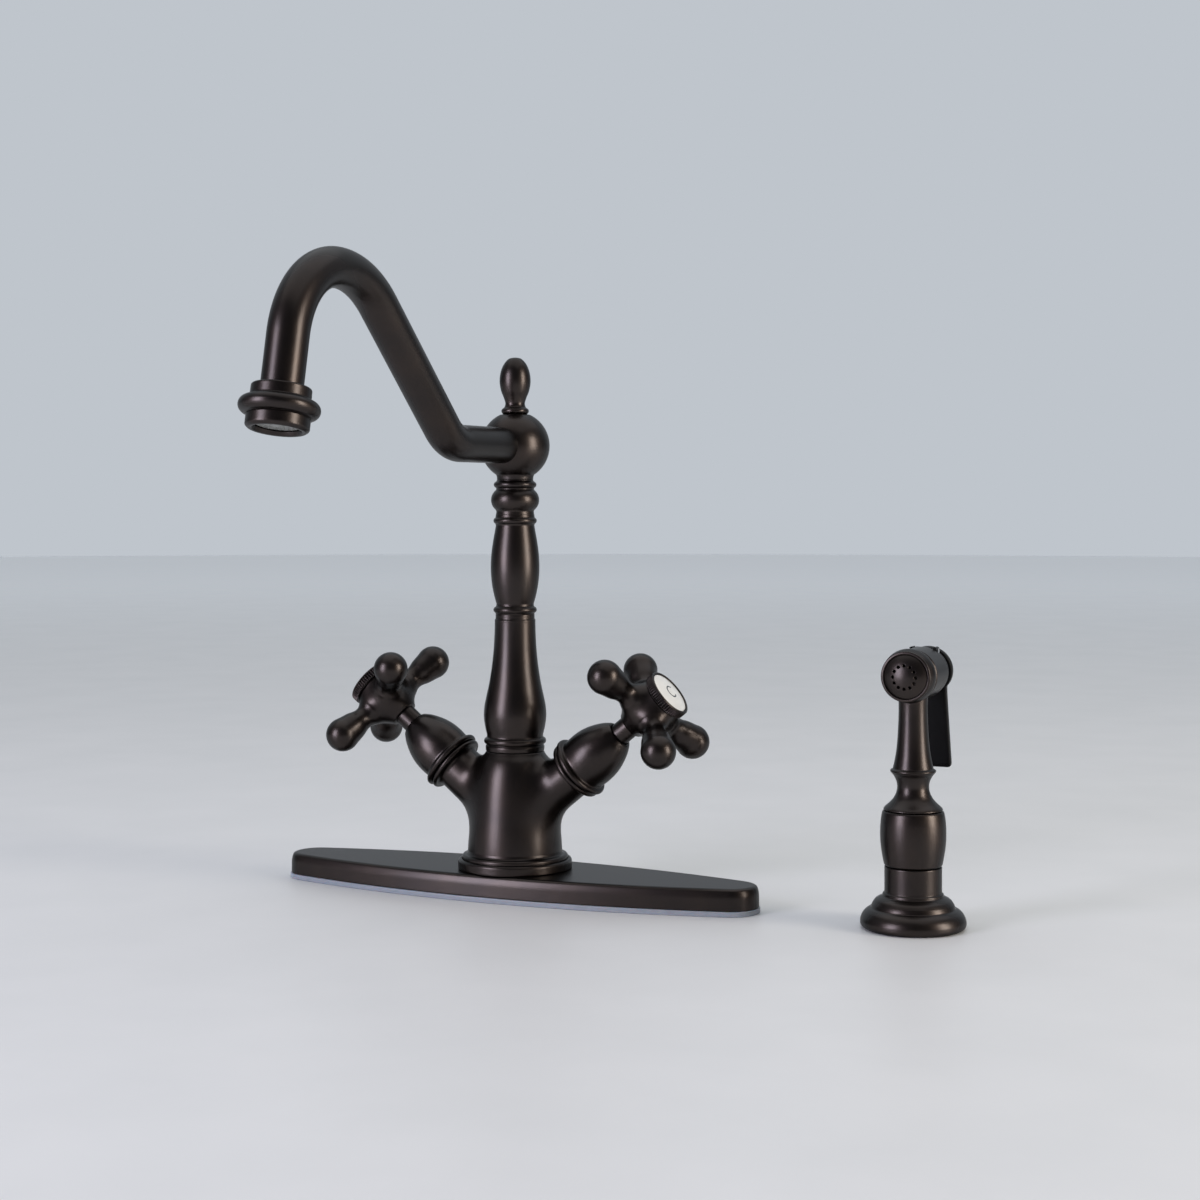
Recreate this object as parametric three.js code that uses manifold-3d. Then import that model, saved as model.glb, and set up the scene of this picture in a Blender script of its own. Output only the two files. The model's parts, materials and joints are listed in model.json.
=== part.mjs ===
// Two handle kitchen faucet with a cover plate, a swinging spout and a side sprayer.
//
// Millimetres, +Z up. The origin is on the worktop, on the axis of the spout post.
// +X runs towards the sprayer, and the spout points along -Y, towards the user.

import * as THREE from 'three';
import { mergeVertices } from 'three/addons/utils/BufferGeometryUtils.js';
import Module from 'manifold-3d';

const wasm = await Module();
wasm.setup();

// --- Driving dimensions ------------------------------------------------------------

const gap = 0.3;                 // clearance between neighbouring pieces
const shankPlay = 0.5;           // clearance of the shank in its holes
const fine = 16;                 // facets round a turned piece that shows
const plain = 12;                // facets round a small or hidden piece

const worktop = 30;              // thickness of the worktop that the faucet clamps

const plateLength = 255.6;
const plateWidth = 57.6;
const plateEndRadius = 14;
const plateTop = 12.9;
const plateWall = 2.2;
const plateEdge = 2;             // inset of the rounded top edge
const gasketThickness = 2.5;
const gasketProud = 0.9;

const shankRadius = 15.9;
const shankBore = 13.5;
const shankReach = 55;           // below the worktop's surface
const shankThread = 8.8;         // length screwed into the body
const nutThickness = 12;
const nutRadius = 25;
const washerRadius = 26;

const baseRingRadius = 28.3;
const baseRingHeight = 4;
const footRadius = 26.4;
const footHeight = 3.5;
const trunkRadius = 23.4;
const neckRadius = 13.7;
const bodyTop = 71;
const chamberRadius = 8.5;
const chamberFloor = 40;

const tubeRadius = 4.75;         // inlet tubes
const tubeBore = 3.6;
const tubeSeat = 5;              // depth of a tube in the body
const tubeReach = 90;
const nippleRadius = 6.4;
const nippleLength = 18;
const inletOffset = [7.2, 3.5];
const sprayOutletOffset = [0, -8];
const passageRadius = 3;

const armRise = 39;              // degrees above the worktop
const armRoot = 35.6;            // height at which the arm axes cross the post axis
const armRadius = 11.8;
const armMouth = 44.4;           // along the arm, where the bonnet meets the body
const armBead = 15.4;
const armSpigot = 5.6;           // threaded collar that the bonnet screws on
const armSpigotRadius = 11.4;
const valveBore = 9.3;
const valveFloor = 22;

const bonnetBead = 16.2;
const bonnetRadius = 13.7;
const bonnetLength = 30.8;
const bonnetWall = 2;
const bonnetRim = 7.1;

const discRadius = 6.7;
const discThickness = 3.7;
const portRadius = 1.9;
const portOffset = 3.7;
const cartridgeWall = 2;
const cartridgeTop = 60;

const stemRadius = 4.2;
const stemCollar = 5.6;
const stemCollarTop = 83;        // along the arm, where the handle sits
const splineRadius = 3.6;
const splineLength = 10.7;

const hubRadius = 10.8;
const hubSkirt = 9.3;
const hubTop = 102.2;
const knobReach = 30;            // ball centre from the handle axis
const knobRadius = 8.75;
const knobNeck = 5.4;
const knobLevel = 93;            // along the arm
const screwHead = 5.2;
const screwRadius = 1.9;
const indexRingRadius = 12.4;
const indexRingHeight = 4.9;
const indexDiscRadius = 10.2;
const indexRecess = 1.8;

const swivelRadius = 9;
const swivelTop = 97;
const washerThickness = 0.8;
const oRingHeight = 84.5;
const oRingSection = 0.85;
const grubTrack = 7.6;           // radius of the groove that the set screw runs in
const grubHeight = 75.2;
const grubRadius = 2;

const postWater = 6.3;           // radius of the water tube inside the post
const postWaterBore = 5;
const postFoot = 72.1;
const lowerTop = 138.6;
const upperTop = 188.3;
const collarTop = 205.6;
const ballCentre = 222.5;
const ballRadius = 17.2;
const ballTop = 238.1;

const spoutRadius = 8.85;
const spoutWall = 1.6;
const spoutHeight = 222.4;
const spoutRun = 49.8;           // straight run from the ball's centre side to the first bend
const spoutInset = 8.5;          // where the tube starts inside the ball
const spoutBendRadius = 27;
const spoutRise = 41.5;          // degrees
const spoutRiseLength = 78.5;
const crownRadius = 52;          // rising side of the crown
const crownFallRadius = 39;      // falling side
const spoutFall = 78;            // degrees below level at the outlet
const spoutLeg = 31.1;           // from the crown to the middle of the outlet bead
const spoutSteps = 30;

const outletSocket = 3;          // from the tube's end to the middle of the bead
const outletCollar = 12.5;
const outletBead = 16.8;
const outletBeadHalf = 3.65;
const outletCollarHeight = 4.2;
const outletThread = 10.4;
const aeratorRadius = 13.15;
const aeratorHeight = 5.2;
const aeratorBore = 9.6;
const aeratorLip = 8.9;

const sprayerX = 203.2;          // 8 in from the spout post
const couplingRadius = 8.2;
const couplingBore = 4;
const couplingFoot = 6;
const couplingPlay = 1.2;        // clearance of the coupling in the holder's bush
const bushWall = 1.6;
const bushLedge = 1.3;           // width of the ledge that the bush stands on
const bushSeat = couplingRadius + couplingPlay + bushWall + gap;
const guideWall = 1.8;           // wall of the sleeve round the bush
const guideRadius = bushSeat + guideWall;
const guideBore = bushSeat - bushLedge;
const guideThread = 2.4;         // wall of the threaded shank
const guideShankRadius = guideBore + guideThread;
const guideFlange = 24.15;
const guideTop = 28.1;
const guideShankReach = 52;
const gripTop = 53.6;
const headHeight = 115.7;        // axis of the spray head
const headRadius = 11.9;
const tenonRadius = 4.4;         // the neck's end in the spray head
const headFront = 5.7;
const headRear = 16.5;
const faceRingRadius = 12.4;
const faceRingFront = 10.8;
const faceRadius = 9.2;
const rearCapRadius = 11.2;
const rearCapEnd = 22;
const valveChamber = 7;
const seatFront = 5.2;
const seatThickness = 1.6;
const nozzleSpigot = 2.5;        // length of the head's end inside the face ring
const rodRadius = 1.6;
const rodEnd = 26.2;
const leverPin = [19.8, 125.4];
const leverPinRadius = 1.2;
const leverTilt = 9.8;           // degrees, the blade leans away from the neck
const leverThickness = 3.5;
const leverLength = 47;
const springWire = 0.5;
const springTurns = 5;

// --- Finishes ----------------------------------------------------------------------

const finish = (color, roughness, metalness) =>
  new THREE.MeshStandardMaterial({ color, roughness, metalness });
const bronze = finish(0x2f2623, 0.38, 0.85);
const brass = finish(0xb5944f, 0.35, 0.9);
const steel = finish(0x9a9c9e, 0.35, 0.9);
const blackRubber = finish(0x1c1c1d, 0.85, 0);
const blackPlastic = finish(0x121213, 0.4, 0);
const whitePlastic = finish(0xd9d9d4, 0.5, 0);
const clearPlastic = finish(0x9aa0ab, 0.35, 0);
const porcelain = finish(0xf4f3ee, 0.12, 0);
const ceramic = finish(0xe8e4da, 0.3, 0);

// --- Solids ------------------------------------------------------------------------

const radians = THREE.MathUtils.degToRad;
const vec = (x, y, z) => new THREE.Vector3(x, y, z);

// A closed geometry as a solid whose faces point outwards.
function solid(geometry) {
  geometry.deleteAttribute('normal');
  geometry.deleteAttribute('uv');
  const merged = mergeVertices(geometry, 1e-4);
  const corners = merged.index.array;
  const kept = [];
  for (let i = 0; i < corners.length; i += 3) {
    const [a, b, c] = [corners[i], corners[i + 1], corners[i + 2]];
    if (a !== b && b !== c && c !== a) kept.push(a, b, c);
  }
  const vertProperties = merged.attributes.position.array;
  const build = (triangles) => new wasm.Manifold(
    new wasm.Mesh({ numProp: 3, vertProperties, triVerts: new Uint32Array(triangles) }),
  );
  const built = build(kept);
  return built.volume() > 0 ? built : build(kept.reverse());
}

// A turned geometry about +Z from [radius, height] pairs.
function turning(profile, facets = fine) {
  const points = profile.map(([radius, height]) => new THREE.Vector2(radius, height));
  return new THREE.LatheGeometry(points, facets).rotateX(Math.PI / 2);
}

const turned = (profile, facets) => solid(turning(profile, facets));

// A turned ring: the profile closes on itself.
const ring = (profile, facets) => turned([...profile, profile[0]], facets);

// A plain tube or washer.
const tube = (outer, inner, low, high, facets) =>
  ring([[outer, low], [outer, high], [inner, high], [inner, low]], facets);

// Profile points on a circular arc, by angle in degrees.
function arc(radius, height, size, from, to, steps) {
  const points = [];
  for (let i = 0; i <= steps; i += 1) {
    const angle = radians(from + (to - from) * i / steps);
    points.push([radius + size * Math.cos(angle), height + size * Math.sin(angle)]);
  }
  return points;
}

// Profile points on a smooth curve through the given ones.
function smooth(points, steps) {
  const curve = new THREE.SplineCurve(points.map(([r, z]) => new THREE.Vector2(r, z)));
  return curve.getPoints(steps).map((point) => [point.x, point.y]);
}

// A round bar between two points.
function bar(radius, from, to, facets = plain) {
  const along = vec(0, 0, 0).subVectors(to, from);
  const turn = new THREE.Quaternion().setFromUnitVectors(vec(0, 1, 0), along.clone().normalize());
  const geometry = new THREE.CylinderGeometry(radius, radius, along.length(), facets);
  geometry.applyQuaternion(turn);
  const middle = from.clone().addScaledVector(along, 0.5);
  return solid(geometry.translate(middle.x, middle.y, middle.z));
}

function block(low, high) {
  const size = high.map((value, i) => value - low[i]);
  const middle = high.map((value, i) => (value + low[i]) / 2);
  return solid(new THREE.BoxGeometry(...size).translate(...middle));
}

// A named mesh from a solid.
function piece(name, body, material) {
  const { vertProperties, triVerts, numProp } = body.getMesh();
  if (numProp !== 3) throw new Error(`${name} has more than positions`);
  const geometry = new THREE.BufferGeometry();
  geometry.setAttribute('position', new THREE.BufferAttribute(vertProperties, 3));
  geometry.setIndex(new THREE.BufferAttribute(triVerts, 1));
  geometry.computeVertexNormals();
  const mesh = new THREE.Mesh(geometry, material);
  mesh.name = name;
  return mesh;
}

function group(...members) {
  const holder = new THREE.Group();
  holder.add(...members);
  return holder;
}

// --- Cover plate and under-deck fixings --------------------------------------------

// The plate's outline, inset by a distance: two long side arcs with tangent round ends.
function plateOutline(inset) {
  const end = plateEndRadius - inset;
  const half = plateWidth / 2 - inset;
  const endCentre = plateLength / 2 - plateEndRadius;
  const side = (endCentre ** 2 + half ** 2 - end ** 2) / (2 * (half - end));
  const sweep = Math.atan2(endCentre, side - half);
  const points = [];
  const sideSteps = 10;
  const endSteps = 8;
  for (const sign of [1, -1]) {
    for (let i = 0; i < sideSteps; i += 1) {
      const angle = -sweep + 2 * sweep * i / sideSteps;
      points.push([sign * side * Math.sin(angle), sign * (half - side + side * Math.cos(angle))]);
    }
    for (let i = 0; i < endSteps; i += 1) {
      const angle = Math.PI / 2 - sweep - (Math.PI - 2 * sweep) * i / endSteps;
      points.push([sign * (endCentre + end * Math.cos(angle)), sign * end * Math.sin(angle)]);
    }
  }
  return points;
}

// A solid that follows the outline at each [inset, height], closed by flat ends.
function plateStack(levels) {
  const positions = [];
  for (const [inset, height] of levels) {
    for (const [x, y] of plateOutline(inset)) positions.push(x, y, height);
  }
  const count = positions.length / 3 / levels.length;
  const last = (levels.length - 1) * count;
  const corners = [];
  for (let level = 0; level + 1 < levels.length; level += 1) {
    for (let i = 0; i < count; i += 1) {
      const a = level * count + i;
      const b = level * count + (i + 1) % count;
      corners.push(a, b, a + count, b, b + count, a + count);
    }
  }
  for (let i = 1; i + 1 < count; i += 1) {
    corners.push(0, i + 1, i, last, last + i, last + i + 1);
  }
  const geometry = new THREE.BufferGeometry();
  geometry.setAttribute('position', new THREE.Float32BufferAttribute(positions, 3));
  geometry.setIndex(corners);
  return solid(geometry);
}

const shankHole = shankRadius + shankPlay;
const baseRingTop = plateTop + baseRingHeight;
const threadTop = baseRingTop + shankThread;

function coverPlate() {
  const hole = bar(shankHole, vec(0, 0, -1), vec(0, 0, plateTop + 1), fine);
  const gasket = plateStack([[-gasketProud, 0], [-gasketProud, gasketThickness]]).subtract(hole);
  const roof = plateTop - plateWall;
  const shell = plateStack([
    [0, gasketThickness], [0, plateTop - 3.4], [0.5, plateTop - 1.6], [plateEdge * 0.7, plateTop - 0.4],
    [plateEdge, plateTop],
  ]);
  const hollow = plateStack([[plateWall, gasketThickness - 1], [plateWall, roof]]);
  const boss = bar(shankHole + plateWall, vec(0, 0, gasketThickness), vec(0, 0, roof + 1), fine);
  const plate = shell.subtract(hollow).add(boss).subtract(hole);
  return [piece('deck_gasket', gasket, clearPlastic), piece('deck_plate', plate, bronze)];
}

function deckFixings() {
  const under = -worktop;
  const rubber = 3;
  const metal = 2;
  const nutTop = under - rubber - metal;
  const nut = bar(nutRadius, vec(0, 0, nutTop - nutThickness), vec(0, 0, nutTop), 6)
    .subtract(bar(shankHole, vec(0, 0, nutTop - nutThickness - 1), vec(0, 0, nutTop + 1), fine));
  const shankTop = threadTop - gap;
  return [
    piece('mounting_shank', tube(shankRadius, shankBore, -shankReach, shankTop), brass),
    piece('shank_gasket', tube(washerRadius + 1, shankHole, under - rubber, under), blackRubber),
    piece('shank_washer', tube(washerRadius, shankHole, nutTop, under - rubber), steel),
    piece('shank_nut', nut, brass),
  ];
}

// An inlet or outlet tube with a nipple at its lower end.
function supplyTube(name, [x, y]) {
  const top = threadTop + tubeSeat - gap;
  const nippleTop = nippleLength - tubeReach;
  const body = ring([
    [nippleRadius, -tubeReach], [nippleRadius, nippleTop], [tubeRadius, nippleTop + 1.5],
    [tubeRadius, top], [tubeBore, top], [tubeBore, -tubeReach],
  ], plain);
  const mesh = piece(name, body, brass);
  mesh.position.set(x, y, 0);
  return mesh;
}

const inletPlace = (side) => [side * inletOffset[0], inletOffset[1]];

// --- Faucet body -------------------------------------------------------------------

const armTurn = (side) => side * radians(90 - armRise);

// A solid made in an arm's own frame, +Z along the arm, moved to its place.
const onArm = (side, geometry) => solid(geometry.rotateY(armTurn(side)).translate(0, 0, armRoot));

// A point on an arm's axis.
const armPoint = (side, along) => vec(
  side * along * Math.cos(radians(armRise)), 0, armRoot + along * Math.sin(radians(armRise)),
);

function faucetBody() {
  const footTop = baseRingTop + footHeight;
  const trunk = turned([
    [0, baseRingTop], [footRadius - 0.5, baseRingTop], [footRadius, baseRingTop + 0.6],
    [footRadius, footTop - 0.8], [footRadius - 0.8, footTop], [trunkRadius, footTop + 0.3],
    [trunkRadius, footTop + 4], [22.9, 30.3],
    ...smooth([[22.3, 36], [21.4, 46], [20.2, 55], [18.8, 62], [17.4, 67], [14.8, 70.2]], 6),
    [neckRadius, bodyTop], [0, bodyTop],
  ]);
  let body = trunk;
  for (const side of [1, -1]) {
    const arm = onArm(side, turning([
      [0, 4], [armRadius + 3.4, 4], [armRadius + 1.4, 20], [armRadius, 30], [armRadius, armMouth - 3.8],
      ...arc(armBead - 1.7, armMouth - 1.7, 1.7, -90, 90, 3),
      [armSpigotRadius, armMouth], [armSpigotRadius, armMouth + armSpigot],
      [0, armMouth + armSpigot],
    ]));
    body = body.add(arm);
  }
  body = body
    .subtract(bar(shankHole, vec(0, 0, baseRingTop - 1), vec(0, 0, threadTop), fine))
    .subtract(bar(chamberRadius, vec(0, 0, chamberFloor), vec(0, 0, bodyTop + 1), fine));
  for (const side of [1, -1]) {
    const bore = onArm(side, turning([
      [0, valveFloor], [valveBore, valveFloor], [valveBore, armMouth + armSpigot + 1],
      [0, armMouth + armSpigot + 1],
    ]));
    const [x, y] = inletPlace(side);
    const mixed = armPoint(side, 33);
    body = body
      .subtract(bore)
      .subtract(bar(tubeRadius + gap, vec(x, y, threadTop - 1), vec(x, y, threadTop + tubeSeat)))
      .subtract(bar(passageRadius, vec(x, y, threadTop + tubeSeat - 1), armPoint(side, valveFloor + 1)))
      .subtract(bar(passageRadius, vec(0, 0, mixed.z), mixed));
  }
  const [x, y] = sprayOutletOffset;
  body = body
    .subtract(bar(tubeRadius + gap, vec(x, y, threadTop - 1), vec(x, y, threadTop + tubeSeat)))
    .subtract(bar(passageRadius, vec(x, y, threadTop + tubeSeat - 1), vec(0, -4, chamberFloor + 1)));
  return piece('faucet_body', body, bronze);
}

function baseRing() {
  const profile = ring([
    [shankHole, plateTop], [baseRingRadius - 0.6, plateTop], [baseRingRadius, plateTop + 0.8],
    [baseRingRadius, baseRingTop - 1.2], [baseRingRadius - 1.2, baseRingTop - 0.2],
    [footRadius - 0.8, baseRingTop], [shankHole, baseRingTop],
  ]);
  return piece('base_ring', profile, bronze);
}

// The diverter is a plug with a waist, standing on the floor of the mixing chamber.
function diverter() {
  const low = chamberFloor + gap;
  const profile = ring([
    [chamberRadius - gap, low], [chamberRadius - gap, low + 3], [4.4, low + 4], [4.4, low + 12],
    [2.2, low + 12], [2.2, low],
  ], plain);
  return piece('diverter', profile, whitePlastic);
}

// --- Valves and handles ------------------------------------------------------------

// Everything on one arm, in the arm's frame: +Z runs outwards along the arm.
function valve(name, side) {
  const holder = group(
    piece(`${name}_cartridge`, cartridge(), brass),
    piece(`${name}_fixed_disc`, ceramicDisc(valveFloor + gap, vec(0, portOffset, 0)), ceramic),
    piece(`${name}_moving_disc`, ceramicDisc(movingDiscLow, vec(portOffset, 0, 0)), ceramic),
    piece(`${name}_stem`, stem(), brass),
    piece(`${name}_bonnet`, bonnet(), bronze),
    piece(`${name}_cross_handle`, crossHandle(), bronze),
    piece(`${name}_handle_screw`, handleScrew(), steel),
    piece(`${name}_index_ring`, indexRing(), bronze),
    piece(`${name}_index_disc`, indexDisc(), porcelain),
  );
  holder.rotation.y = armTurn(side);
  holder.position.z = armRoot;
  return holder;
}

const movingDiscLow = valveFloor + gap + discThickness + gap;
const stemFoot = movingDiscLow + discThickness + gap;
const spigotEnd = armMouth + armSpigot;

function ceramicDisc(low, port) {
  let disc = turned([
    [0, low], [discRadius, low], [discRadius, low + discThickness], [0, low + discThickness],
  ], plain);
  for (const sign of [1, -1]) {
    const centre = port.clone().multiplyScalar(sign);
    const from = centre.clone().setZ(low - 1);
    const to = centre.clone().setZ(low + discThickness + 1);
    disc = disc.subtract(bar(portRadius, from, to, 8));
  }
  return disc;
}

// The housing holds both discs below and guides the stem above. A waist and four windows
// let the water out to the mixing chamber.
function cartridge() {
  const outer = valveBore - gap;
  const inner = discRadius + gap;
  const low = valveFloor + gap;
  const waist = inner + 0.9;
  const roof = 40;
  let housing = ring([
    [outer, low], [outer, stemFoot - 0.5], [waist, stemFoot], [waist, stemFoot + 6],
    [outer, stemFoot + 6.5], [outer, spigotEnd + gap], [armSpigotRadius - 0.2, spigotEnd + gap],
    [armSpigotRadius - 0.2, spigotEnd + 2.5], [stemRadius + gap + cartridgeWall * 1.7, spigotEnd + 2.5],
    [stemRadius + gap + cartridgeWall * 1.7, cartridgeTop], [stemRadius + gap, cartridgeTop],
    [stemRadius + gap, roof], [inner, roof], [inner, low],
  ], plain);
  const middle = stemFoot + 3.2;
  housing = housing
    .subtract(bar(2.2, vec(-outer - 1, 0, middle), vec(outer + 1, 0, middle), 8))
    .subtract(bar(2.2, vec(0, -outer - 1, middle), vec(0, outer + 1, middle), 8));
  return housing;
}

function stem() {
  const splineTop = stemCollarTop + splineLength;
  const hole = screwRadius + gap;
  return turned([
    [0, stemFoot], [discRadius - gap, stemFoot], [discRadius - gap, stemFoot + 3],
    [stemRadius, stemFoot + 3.5], [stemRadius, cartridgeTop + 4], [stemCollar, cartridgeTop + 5.5],
    [stemCollar, stemCollarTop], [splineRadius, stemCollarTop], [splineRadius, splineTop],
    [hole, splineTop], [hole, stemCollarTop + 2], [0, stemCollarTop + 2],
  ]);
}

// A bell with a double bead at its mouth and a narrow rim where the stem comes out.
function bonnet() {
  const low = armMouth + gap;
  const beadTop = low + 3.4;
  const top = armMouth + bonnetLength;
  const bore = armSpigotRadius + gap;
  const tip = stemCollar + gap;
  const bell = [
    [bonnetRadius, beadTop + 2], [bonnetRadius + 0.2, beadTop + 7], [13.2, beadTop + 12],
    [11.7, beadTop + 17], [9.6, beadTop + 21.3], [bonnetRim - 0.2, top - 2.4],
  ];
  const within = bell.slice(2).map(([r, z]) => [Math.max(r - bonnetWall, tip), z - 0.6]);
  return ring([
    [bonnetBead - 2, low], ...arc(bonnetBead - 1.7, low + 1.7, 1.7, -60, 75, 3),
    [bonnetRadius + 0.9, beadTop + 0.2], [bonnetRadius + 0.9, beadTop + 1.2],
    ...smooth(bell, 6), [bonnetRim, top - 1.8], [bonnetRim, top], [tip, top], [tip, top - 3.4],
    ...within.slice(1, 3).reverse(), [bore, beadTop + 9], [bore, low],
  ]);
}

// A round hub with four pear-shaped arms, set diagonally to the post.
function crossHandle() {
  const low = stemCollarTop + gap;
  const bore = splineRadius + gap;
  const splineTop = stemCollarTop + splineLength + gap;
  const web = splineTop + 3;
  const recess = screwHead + 1.1;
  let handle = turned([
    [0, low], [hubSkirt, low], [hubSkirt, low + 1.4], [hubSkirt - 0.7, low + 2.2],
    ...smooth([[9.2, low + 3.4], [hubRadius, knobLevel - 2], [hubRadius, knobLevel + 2],
      [9.4, hubTop - 3.6]], 4),
    [9.6, hubTop - 1.6], [10.4, hubTop - 1.2], [10.4, hubTop], [0, hubTop],
  ]);
  for (let i = 0; i < 4; i += 1) {
    const pear = turning([
      [0, 2], [knobNeck + 2.2, 7], [knobNeck + 0.5, 11], [knobNeck, 15], [knobNeck + 0.9, 19],
      ...arc(0, knobReach, knobRadius, -42, 90, 5),
    ], 9);
    pear.rotateX(Math.PI / 2);
    pear.rotateZ(Math.PI / 4 + i * Math.PI / 2);
    handle = handle.add(solid(pear.translate(0, 0, knobLevel)));
  }
  return handle
    .subtract(bar(bore, vec(0, 0, low - 1), vec(0, 0, splineTop)))
    .subtract(bar(screwRadius + gap, vec(0, 0, low), vec(0, 0, hubTop)))
    .subtract(bar(recess, vec(0, 0, web), vec(0, 0, hubTop + 1)));
}

const screwSeat = stemCollarTop + splineLength + gap + 3 + gap;
const indexSpigot = 1.9;

function handleScrew() {
  const low = stemCollarTop + 3;
  return turned([
    [0, low], [screwRadius, low + 1], [screwRadius, screwSeat], [screwHead, screwSeat],
    [screwHead, screwSeat + 2], [screwHead - 0.8, screwSeat + 2.8], [0, screwSeat + 2.8],
  ], plain);
}

function indexRing() {
  const low = hubTop + gap;
  const top = low + indexRingHeight;
  const spigot = screwHead + 0.8;
  return turned([
    [0, low - indexSpigot], [spigot, low - indexSpigot], [spigot, low], [indexRingRadius - 0.6, low],
    [indexRingRadius, low + 0.6], [indexRingRadius, top - 0.6], [indexRingRadius - 0.6, top],
    [indexDiscRadius + gap, top], [indexDiscRadius + gap, top - indexRecess], [0, top - indexRecess],
  ]);
}

function indexDisc() {
  const low = hubTop + gap + indexRingHeight - indexRecess + gap;
  return turned([
    [0, low], [indexDiscRadius, low], [indexDiscRadius, low + 1.5], [indexDiscRadius - 1.4, low + 2],
    [0, low + 2.5],
  ]);
}

// --- Turning spout -----------------------------------------------------------------

// The brass spigot that the post turns on, with its O-ring and the washer under the post.
function swivel() {
  const bore = 5.5;
  const thread = chamberRadius - gap;
  const groove = swivelRadius - 2 * oRingSection - 0.1;
  const half = oRingSection + gap;
  const spigot = ring([
    [thread, bodyTop - 9], [thread, bodyTop], [swivelRadius, bodyTop],
    [swivelRadius, grubHeight - grubRadius - gap], [grubTrack, grubHeight - grubRadius - gap],
    [grubTrack, grubHeight + grubRadius + gap], [swivelRadius, grubHeight + grubRadius + gap],
    [swivelRadius, oRingHeight - half], [groove, oRingHeight - half],
    [groove, oRingHeight + half], [swivelRadius, oRingHeight + half],
    [swivelRadius, swivelTop - 0.8], [swivelRadius - 0.8, swivelTop], [bore, swivelTop],
    [bore, bodyTop - 9],
  ]);
  const circle = arc(swivelRadius - oRingSection, oRingHeight, oRingSection, 0, 315, 7);
  const washer = tube(neckRadius - 0.7, swivelRadius + gap, bodyTop, bodyTop + washerThickness);
  return [
    piece('spout_stem', spigot, brass),
    piece('stem_o_ring', ring(circle), blackRubber),
    piece('swivel_washer', washer, blackPlastic),
  ];
}

// A sleeve of the post: an outer profile from bottom to top over a bore.
const sleeve = (outer, bore) => ring([...outer, [bore, outer.at(-1)[1]], [bore, outer[0][1]]]);

function post() {
  const bore = postWater + gap;
  const socket = swivelRadius + gap;
  const lower = ring([
    [14.6, postFoot], ...arc(14, postFoot + 1.7, 1.6, -45, 60, 2),
    ...arc(14, postFoot + 4.6, 1.4, -45, 80, 2), [14, postFoot + 7.2],
    ...smooth([[14.2, 80], [15.6, 88.5], [14.4, 97], [12.1, 108], [10.6, 121], [10.15, 134]], 9),
    [10.15, 136], [9.7, 136.6], [9.7, lowerTop], [bore, lowerTop], [bore, swivelTop + 1],
    [socket, swivelTop + 1], [socket, postFoot],
  ]);
  const reach = vec(0, 20, grubHeight);
  const lowerDrilled = lower.subtract(bar(grubRadius + gap, vec(0, 0, grubHeight), reach, 12));
  const upper = sleeve([
    [9.9, lowerTop + gap], ...arc(9.1, lowerTop + 2.3, 1.5, -60, 60, 2), [9.4, lowerTop + 4.6],
    ...smooth([[9.4, 144], [11.3, 152.5], [12.1, 163], [11.4, 173.5], [9.7, 181.8]], 6),
    ...arc(9.3, 185.4, 1.5, -60, 60, 2), [9.7, upperTop],
  ], bore);
  const collar = sleeve([
    [9.7, upperTop + gap], ...arc(5.6, 195.6, 6.3, -48, 48, 4),
    ...arc(9.2, 203.3, 1.5, -60, 60, 2), [9.2, collarTop],
  ], bore);
  const water = tube(postWater, postWaterBore, swivelTop + 1 + gap, ballCentre - 6, plain);
  const grub = bar(grubRadius, vec(0, grubTrack + gap, grubHeight), vec(0, 14.6, grubHeight), 12);
  return [
    piece('column_lower', lowerDrilled, bronze),
    piece('column_upper', upper, bronze),
    piece('column_collar', collar, bronze),
    piece('column_tube', water, brass),
    piece('spout_set_screw', grub, steel),
  ];
}

function spoutHub() {
  const low = collarTop + gap;
  const seatAngle = -THREE.MathUtils.radToDeg(Math.acos(9.4 / ballRadius));
  const topAngle = THREE.MathUtils.radToDeg(Math.asin((ballTop - ballCentre) / ballRadius));
  let hub = turned([
    [0, low], [9.2, low], [9.2, low + 1], ...arc(0, ballCentre, ballRadius, seatAngle, topAngle, 8),
    [0, ballTop],
  ]);
  const bore = postWater + gap;
  hub = hub
    .subtract(bar(bore, vec(0, 0, low - 1), vec(0, 0, spoutHeight + 4), fine))
    .subtract(bar(bore, vec(0, 0, spoutHeight), vec(0, -spoutInset - 1, spoutHeight), fine))
    .subtract(bar(spoutRadius + gap, vec(0, -spoutInset + gap, spoutHeight), vec(0, -20, spoutHeight), fine))
    .subtract(bar(3 + gap, vec(0, 0, ballTop - 7), vec(0, 0, ballTop + 1)));
  return piece('spout_hub', hub, bronze);
}

function finial() {
  const pin = 3;
  const profile = turned([
    [0, ballTop - 6], [pin, ballTop - 6], [pin, ballTop], [6.3, ballTop],
    ...arc(5.3, ballTop + 1.6, 1.5, -50, 70, 2), [5.3, ballTop + 4],
    ...smooth([[5, ballTop + 6], [6.7, ballTop + 9.6], [7.7, ballTop + 16], [7.1, ballTop + 20.4],
      [4.6, ballTop + 25], [1.6, ballTop + 28]], 7),
    [0, ballTop + 28.4],
  ]);
  return piece('finial', profile, bronze);
}

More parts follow.
